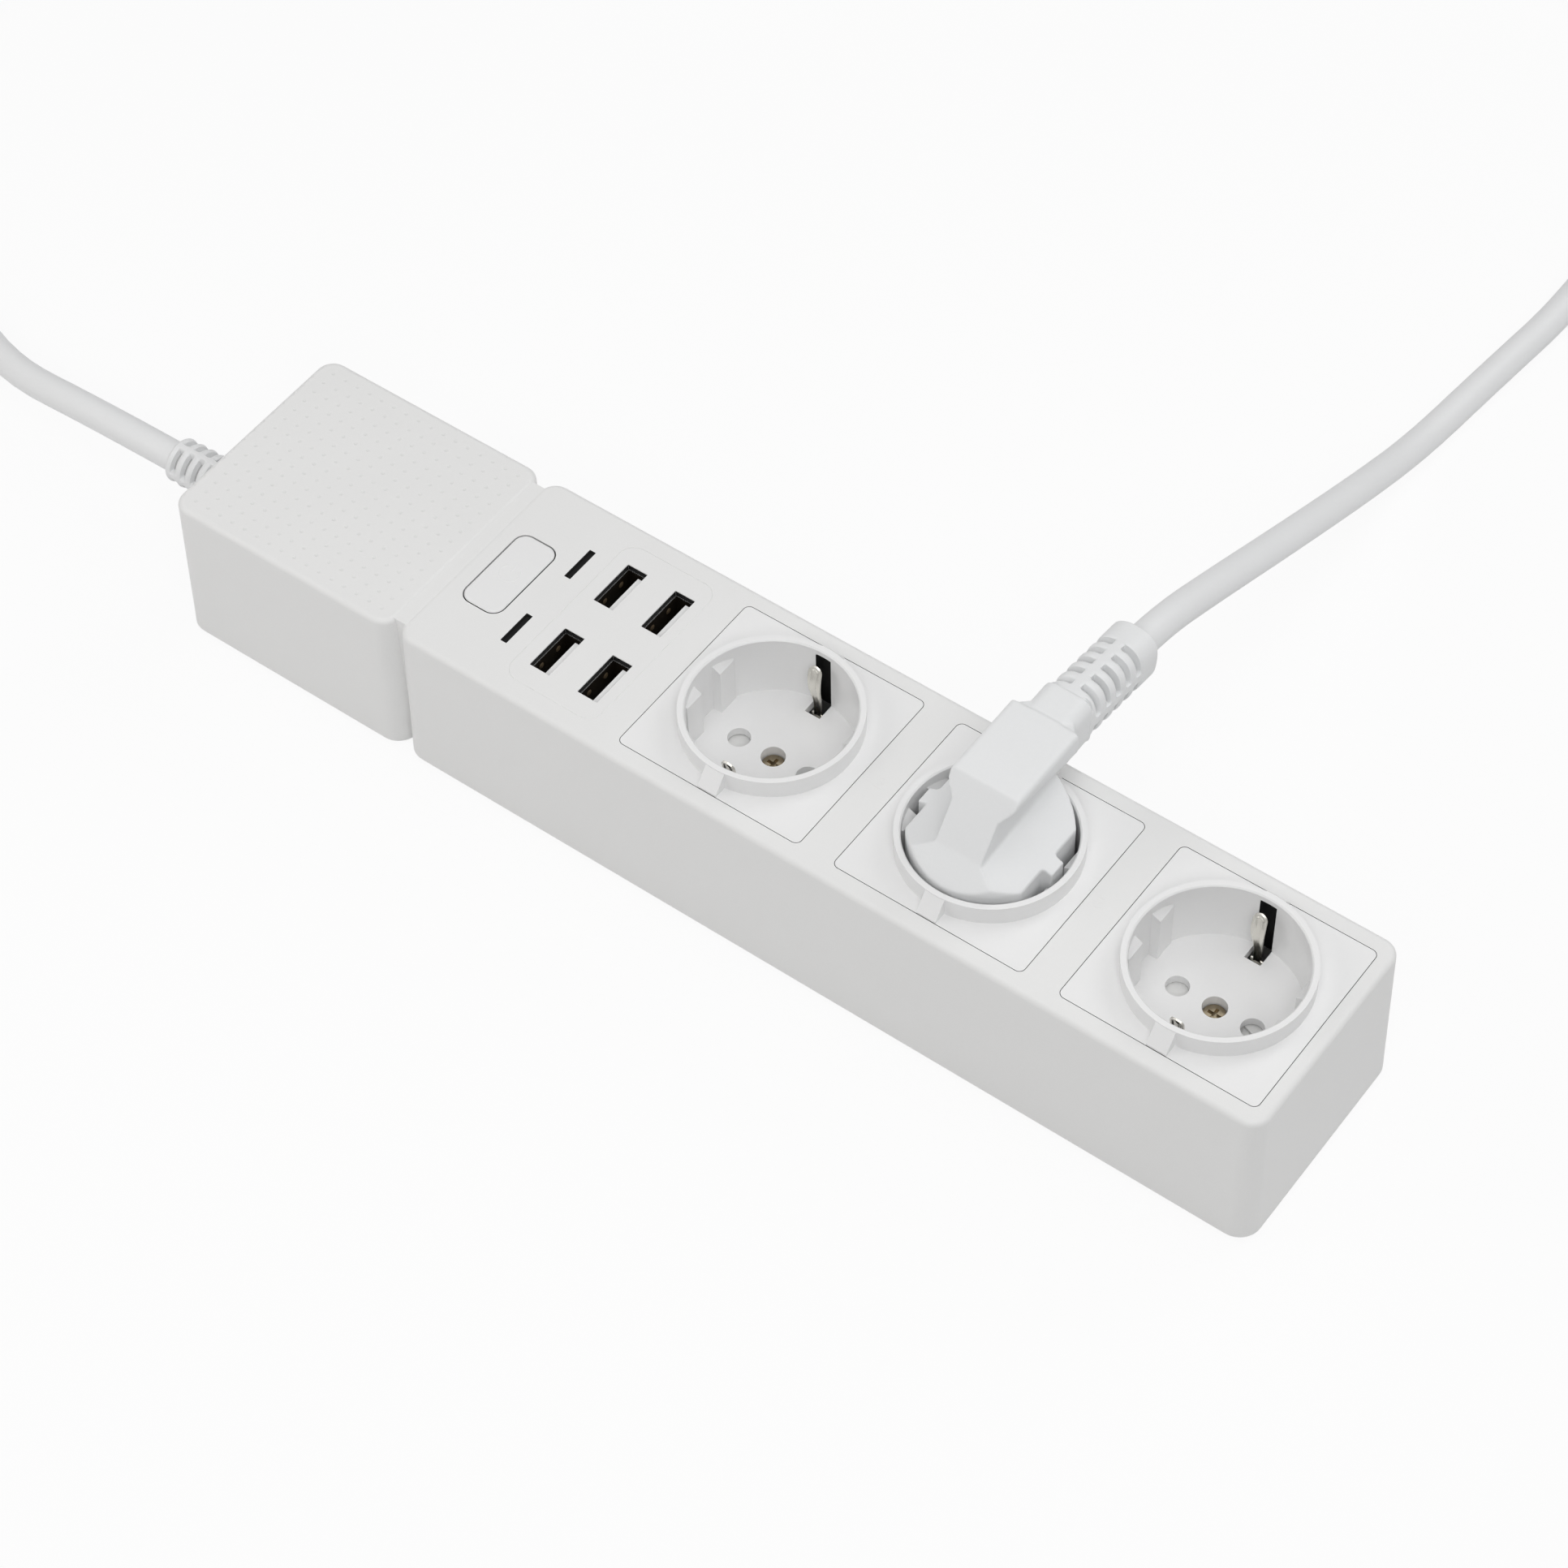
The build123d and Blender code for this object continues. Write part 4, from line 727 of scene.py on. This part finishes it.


# USB outlets: steel sleeve whose inside and two springs are painted dark as shade, and the black liner of
# its opening
SPRING_DEPTH = 2.3
SPRING_RADIUS = 0.85
SPRING_HEIGHT = 0.3
LINER_GAPS = (0.07, 0.09)
LINER_LOW = 40.8
LINER_HIGH = 42.72
BLADE_TOP = 42.0
BLADE_DROP = 1.0
BLADE_LEFT_SHIFT = 0.85
BLADE_RIGHT_SHIFT = 0.42
BLADE_NEAR_SHIFT = -0.7
STRIP_MIDDLE = 38.0
STRIP_FOOT_SHIFT = 0.16
STRIP_TIP_SHIFT = 0.77
for number, (x, y) in enumerate(USB_PLACES, start=1):
    sleeve = form_of(f"usb_shell_{number}")
    bore = (SHELL_HALF[0] - SHELL_WALL, SHELL_HALF[1] - SHELL_WALL)
    # Inner walls of the bore, and the springs on them, are painted dark as shade
    for face in sleeve.faces:
        off_bore = abs(outline_gap(face.calc_center_median(), (x, y), bore, 0.0))
        if abs(face.normal.z) < UPRIGHT and off_bore < ON_OUTLINE:
            face.material_index = 1
    for side in (-1, 1):
        wall = at(x - bore[0], y + 0.5 * side * bore[1], SHELL_TOP - SPRING_DEPTH)
        dome(sleeve, wall, RIGHTWARD, UPWARD, SPRING_RADIUS * MM, SPRING_HEIGHT * MM, 2)
    liner = []
    for gap in LINER_GAPS:
        half_x, half_y = SHELL_HALF[0] + gap, SHELL_HALF[1] + gap
        liner.append([(x + side_x * half_x, y + side_y * half_y) for side_x, side_y in CORNERS])
    thin_wall(sleeve, *liner, LINER_LOW, LINER_HIGH, True, 3)
    name = f"usb_sleeve_{number}"
    inside = ("shell_inside_painted_shade", "shell_spring_painted_shade", "liner_and_painted_shade")
    keep(name, mesh_of(sleeve, name), "shell_steel", "strip", (f"usb_shell_{number}",), inside)
    blade = soft_edged(f"usb_blade_{number}", f"usb_tongue_{number}", "tongue", EDGE_ROUND)
    for vertex in blade.data.vertices:
        if vertex.co.z > BLADE_TOP * MM:
            shift_x = BLADE_RIGHT_SHIFT if vertex.co.x > (x + 1.0) * MM else BLADE_LEFT_SHIFT
            shift_y = BLADE_NEAR_SHIFT if vertex.co.y < (y - 5.0) * MM else 0.0
            vertex.co += at(shift_x, shift_y, -BLADE_DROP)

# Contact strips, set back with the blades that carry them
strips = form_of("usb_contacts")
for vertex in strips.verts:
    if vertex.co.z > STRIP_MIDDLE * MM:
        vertex.co += at(STRIP_TIP_SHIFT, 0.0, -BLADE_DROP)
    else:
        vertex.co += at(STRIP_FOOT_SHIFT, 0.0, 0.0)
keep("usb_strips", mesh_of(strips, "usb_strips"), "gold_contact", "strip", ("usb_contacts",))

# Earth springs: the strap under the well, and on it the two curved fingers with a pressed loop
FINGER_HALF = 1.7
FINGER_TIP = 45.7
FINGER_BULGE = 40.0
FINGER_ROOT = 17.0
FINGER_REACH = 1.5
FINGER_LEAN = 0.9
FINGER_SHEET = 0.5
FINGER_SINK = 0.3
FINGER_ROWS = 70
FINGER_COLUMNS = 26
FINGER_FOOT = 0.55
FINGER_FULL = FINGER_BULGE + 2.0
FINGER_LEAST = 0.12
PRESSED_HALF = 0.85
PRESSED_RISE = 0.24
PRESSED_SPREAD = 0.22


def finger_face(height):
    """How far from the middle of the well the finger's face stands at a height."""
    inward = FINGER_REACH * ease(FLOOR, FINGER_BULGE, height)
    lean = max(height - FINGER_BULGE, 0.0) / (FINGER_TIP - FINGER_BULGE)
    return FINGER_ROOT - inward + FINGER_LEAN * lean * lean


def earth_finger(form, x, side):
    """Adds one finger, as thick as its sheet, to a spring."""
    rows = FINGER_ROWS
    columns = FINGER_COLUMNS
    lowest = FLOOR_UNDER - FINGER_SINK
    loop_middle = FINGER_TIP - FINGER_HALF
    skins = []
    for thickness in (0.0, FINGER_SHEET):
        skin = []
        for row in range(rows + 1):
            height = lowest + (FINGER_TIP - lowest) * row / rows
            past = max(height - loop_middle, 0.0)
            taper = FINGER_FOOT + (1.0 - FINGER_FOOT) * ease(FLOOR, FINGER_FULL, height)
            half = max(taper * math.sqrt(max(FINGER_HALF**2 - past**2, 0.0)), FINGER_LEAST)
            line = []
            for column in range(columns + 1):
                across_x = half * (2 * column / columns - 1)
                off_line = abs(math.hypot(across_x, past) - PRESSED_HALF)
                swell = PRESSED_RISE * math.exp(-((off_line / PRESSED_SPREAD) ** 2))
                depth = finger_face(height) - swell + thickness
                line.append(form.verts.new(at(x + across_x, side * depth, height)))
            skin.append(line)
        skins.append(skin)
    front, rear = skins
    for row in range(rows):
        for column in range(columns):
            for skin in skins:
                low, high = skin[row], skin[row + 1]
                form.faces.new((low[column], low[column + 1], high[column + 1], high[column]))
        for column in (0, columns):
            corners = (front[row][column], front[row + 1][column], rear[row + 1][column], rear[row][column])
            form.faces.new(corners)
    for row in (0, rows):
        for column in range(columns):
            corners = (front[row][column], front[row][column + 1], rear[row][column + 1], rear[row][column])
            form.faces.new(corners)


SLOT_HALF = 2.045
SLOT_FRONT = 19.35
SLOT_BACK = 21.17
SLOT_TOP = 45.7
SHADOW_SHEET = 0.02


def slot_shadow_sheet(form, x, side):
    """Adds a black sheet behind an earth slot's finger, as painted shade at the back of the slot."""
    outlines = []
    for gap in (0.0, SHADOW_SHEET):
        half = SLOT_HALF + gap
        back = SLOT_BACK + gap
        turns = ((-half, SLOT_FRONT), (-half, back), (half, back), (half, SLOT_FRONT))
        outlines.append([(x + across_x, side * depth) for across_x, depth in turns])
    thin_wall(form, *outlines, FLOOR_UNDER, SLOT_TOP, False, 1)


# Each earth slot gets a black sheet behind its finger, as painted shade
for number in (1, 3):
    spring = form_of(f"earth_clip_{number}")
    whole = [*spring.verts, *spring.edges, *spring.faces]
    bmesh.ops.bisect_plane(
        spring, geom=whole, plane_co=at(0, 0, FLOOR_UNDER), plane_no=UPWARD, clear_outer=True
    )
    bmesh.ops.holes_fill(spring, edges=[edge for edge in spring.edges if edge.is_boundary])
    for side in (-1, 1):
        earth_finger(spring, SOCKETS[number - 1], side)
        slot_shadow_sheet(spring, SOCKETS[number - 1], side)
    bmesh.ops.recalc_face_normals(spring, faces=spring.faces)
    name = f"earth_spring_{number}"
    clip = (f"earth_clip_{number}",)
    keep(name, mesh_of(spring, name, smooth_angle=50.0), "spring_nickel", "strip", clip, ("liner_and_painted_shade",))


def ridge(form, points, half_width, height):
    """Adds a low raised line along points on a level face."""
    rows = []
    for place, point in enumerate(points):
        before = points[max(place - 1, 0)]
        after = points[min(place + 1, len(points) - 1)]
        along = (after - before).normalized()
        beside = Vector((-along.y, along.x, 0)) * half_width
        rows.append([form.verts.new(point + shift) for shift in (-beside, UPWARD * height, beside)])
    for near, far in zip(rows, rows[1:]):
        form.faces.new((near[0], near[1], far[1], far[0]))
        form.faces.new((near[1], near[2], far[2], far[1]))
        form.faces.new((near[2], near[0], far[0], far[2]))
    form.faces.new(rows[0][::-1])
    form.faces.new(rows[-1])


# Raised signs: on and off on the button, and the numbers beside the sockets
SIGN_RADIUS = 2.5
SIGN_HALF = 0.22 * MM
SIGN_RISE = 0.06 * MM
SIGN_STEPS = 28
SIGN_START = 125.0
SIGN_SWEEP = 290.0
DIGIT_SIZE = 4.6 * MM
DIGIT_RISE = 0.05 * MM
sign = bmesh.new()
arc = []
for step in range(SIGN_STEPS + 1):
    angle = math.radians(SIGN_START + SIGN_SWEEP * step / SIGN_STEPS)
    arc.append(at(BUTTON_X + SIGN_RADIUS * math.cos(angle), SIGN_RADIUS * math.sin(angle), BUTTON_TOP))
ridge(sign, arc, SIGN_HALF, SIGN_RISE)
ridge(sign, [at(BUTTON_X, 0.6, BUTTON_TOP), at(BUTTON_X, 3.2, BUTTON_TOP)], SIGN_HALF, SIGN_RISE)
keep("button_sign", mesh_of(sign, "button_sign", smooth_angle=30.0), "button", "button")
for figure, x, y in (("2", 33.0, 0.0), ("3", 90.0, 0.75)):
    digit = bpy.data.curves.new(f"socket_number_{figure}", "FONT")
    digit.body = figure
    digit.size = DIGIT_SIZE
    digit.align_x = "CENTER"
    digit.align_y = "CENTER"
    digit.extrude = DIGIT_RISE
    digit.materials.append(finishes["housing"])
    number_piece = bpy.data.objects.new(f"socket_number_{figure}", digit)
    number_piece.location = at(x, y, TOP)
    bpy.context.scene.collection.objects.link(number_piece)
    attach(number_piece, "strip")

# Bead that closes the seam round the outlet panel
BEAD_GAPS = (-0.02, 0.12)
BEAD_LOW = TOP - 0.3
BEAD_HIGH = TOP - 0.1
CORNER_STEPS = 8
bead = bmesh.new()
outlines = []
for gap in BEAD_GAPS:
    outline = []
    for corner_x, corner_y, start in ((1, 1, 0), (-1, 1, 90), (-1, -1, 180), (1, -1, 270)):
        for step in range(CORNER_STEPS + 1):
            angle = math.radians(start + 90 * step / CORNER_STEPS)
            x = PANEL_X + corner_x * (PANEL_HALF[0] - PANEL_RADIUS) + (PANEL_RADIUS + gap) * math.cos(angle)
            y = corner_y * (PANEL_HALF[1] - PANEL_RADIUS) + (PANEL_RADIUS + gap) * math.sin(angle)
            outline.append((x, y))
    outlines.append(outline)
thin_wall(bead, *outlines, BEAD_LOW, BEAD_HIGH, True)
keep("panel_bead", mesh_of(bead, "panel_bead"), "housing")


def white_rays(tree):
    """1 for the rays that see the studio white: from the camera, in a reflection or through glass."""
    camera_ray = Wire.node(tree, "ShaderNodeLightPath", output="Is Camera Ray")
    glossy_ray = Wire.node(tree, "ShaderNodeLightPath", output="Is Glossy Ray")
    glass_ray = Wire.node(tree, "ShaderNodeLightPath", output="Is Transmission Ray")
    return (camera_ray + glossy_ray + glass_ray) > 0.5


# Floor that turns to plain white away from the strip, studio light and background
FLOOR_HALF = 3.0
FLOOR_FADE = {"From Min": 0.35, "From Max": 0.8, "To Min": 0.9, "To Max": 1.0}
STUDIO_LIGHT = 0.16
WHITE = (1.0, 1.0, 1.0, 1.0)
floor_mesh = bpy.data.meshes.new("studio_floor")
floor_corners = [(side_x * FLOOR_HALF, side_y * FLOOR_HALF, 0) for side_x, side_y in CORNERS]
floor_mesh.from_pydata(floor_corners, [], [(0, 1, 2, 3)])
floor = bpy.data.objects.new("studio_floor", floor_mesh)
bpy.context.scene.collection.objects.link(floor)
floor_finish, floor_tree, floor_place = new_finish("studio_white")
lit = Wire.node(floor_tree, "ShaderNodeBsdfDiffuse", {}, {"Color": (*grey(0.85), 1.0)})
glow = Wire.node(floor_tree, "ShaderNodeEmission", {}, {"Color": WHITE, "Strength": 1.0})
length = {"operation": "LENGTH"}
distance = Wire.node(floor_tree, "ShaderNodeVectorMath", length, {0: floor_place}, "Value")
smooth = {"interpolation_type": "SMOOTHSTEP"}
whiteness = Wire.node(floor_tree, "ShaderNodeMapRange", smooth, {"Value": distance, **FLOOR_FADE})
shown = whiteness * white_rays(floor_tree)
close_finish(floor_tree, Wire.node(floor_tree, "ShaderNodeMixShader", {}, {0: shown, 1: lit, 2: glow}))
floor_mesh.materials.append(floor_finish)

world = bpy.data.worlds.new("studio")
bpy.context.scene.world = world
world.use_nodes = True
sky = world.node_tree
sky.nodes.clear()
level = STUDIO_LIGHT + (1.0 - STUDIO_LIGHT) * white_rays(sky)
studio = Wire.node(sky, "ShaderNodeBackground", {}, {"Color": WHITE, "Strength": level})
Wire.node(sky, "ShaderNodeOutputWorld", {}, {"Surface": studio})


def lamp(name, place, aim, size, power, colour):
    """Square soft light."""
    data = bpy.data.lights.new(name, "AREA")
    data.size = size
    data.energy = power
    data.color = colour
    light = bpy.data.objects.new(name, data)
    bpy.context.scene.collection.objects.link(light)
    light.location = place
    light.rotation_mode = "QUATERNION"
    light.rotation_quaternion = (Vector(aim) - Vector(place)).to_track_quat("-Z", "Y")


WARM = (1.0, 0.985, 0.965)
PLAIN = (1.0, 1.0, 1.0)
lamp("key", (0.42, -0.55, 0.85), (0, 0, 0.03), 0.6, 3.75, PLAIN)
lamp("front", (-0.45, -0.45, 0.4), (-0.08, 0, 0.03), 0.45, 1.25, WARM)
lamp("overhead", (0.05, 0.1, 0.95), (0, 0, 0.03), 0.7, 1.9, PLAIN)
lamp("right_side", (0.75, 0.2, 0.6), (0.05, 0, 0.03), 0.6, 0.96, PLAIN)
lamp("left_side", (-0.8, 0.05, 0.55), (-0.05, 0, 0.03), 0.6, 0.68, PLAIN)
lamp("rear", (0.3, 0.85, 0.75), (0, 0, 0.03), 0.6, 2.77, PLAIN)

bpy.context.scene.view_settings.view_transform = "Standard"
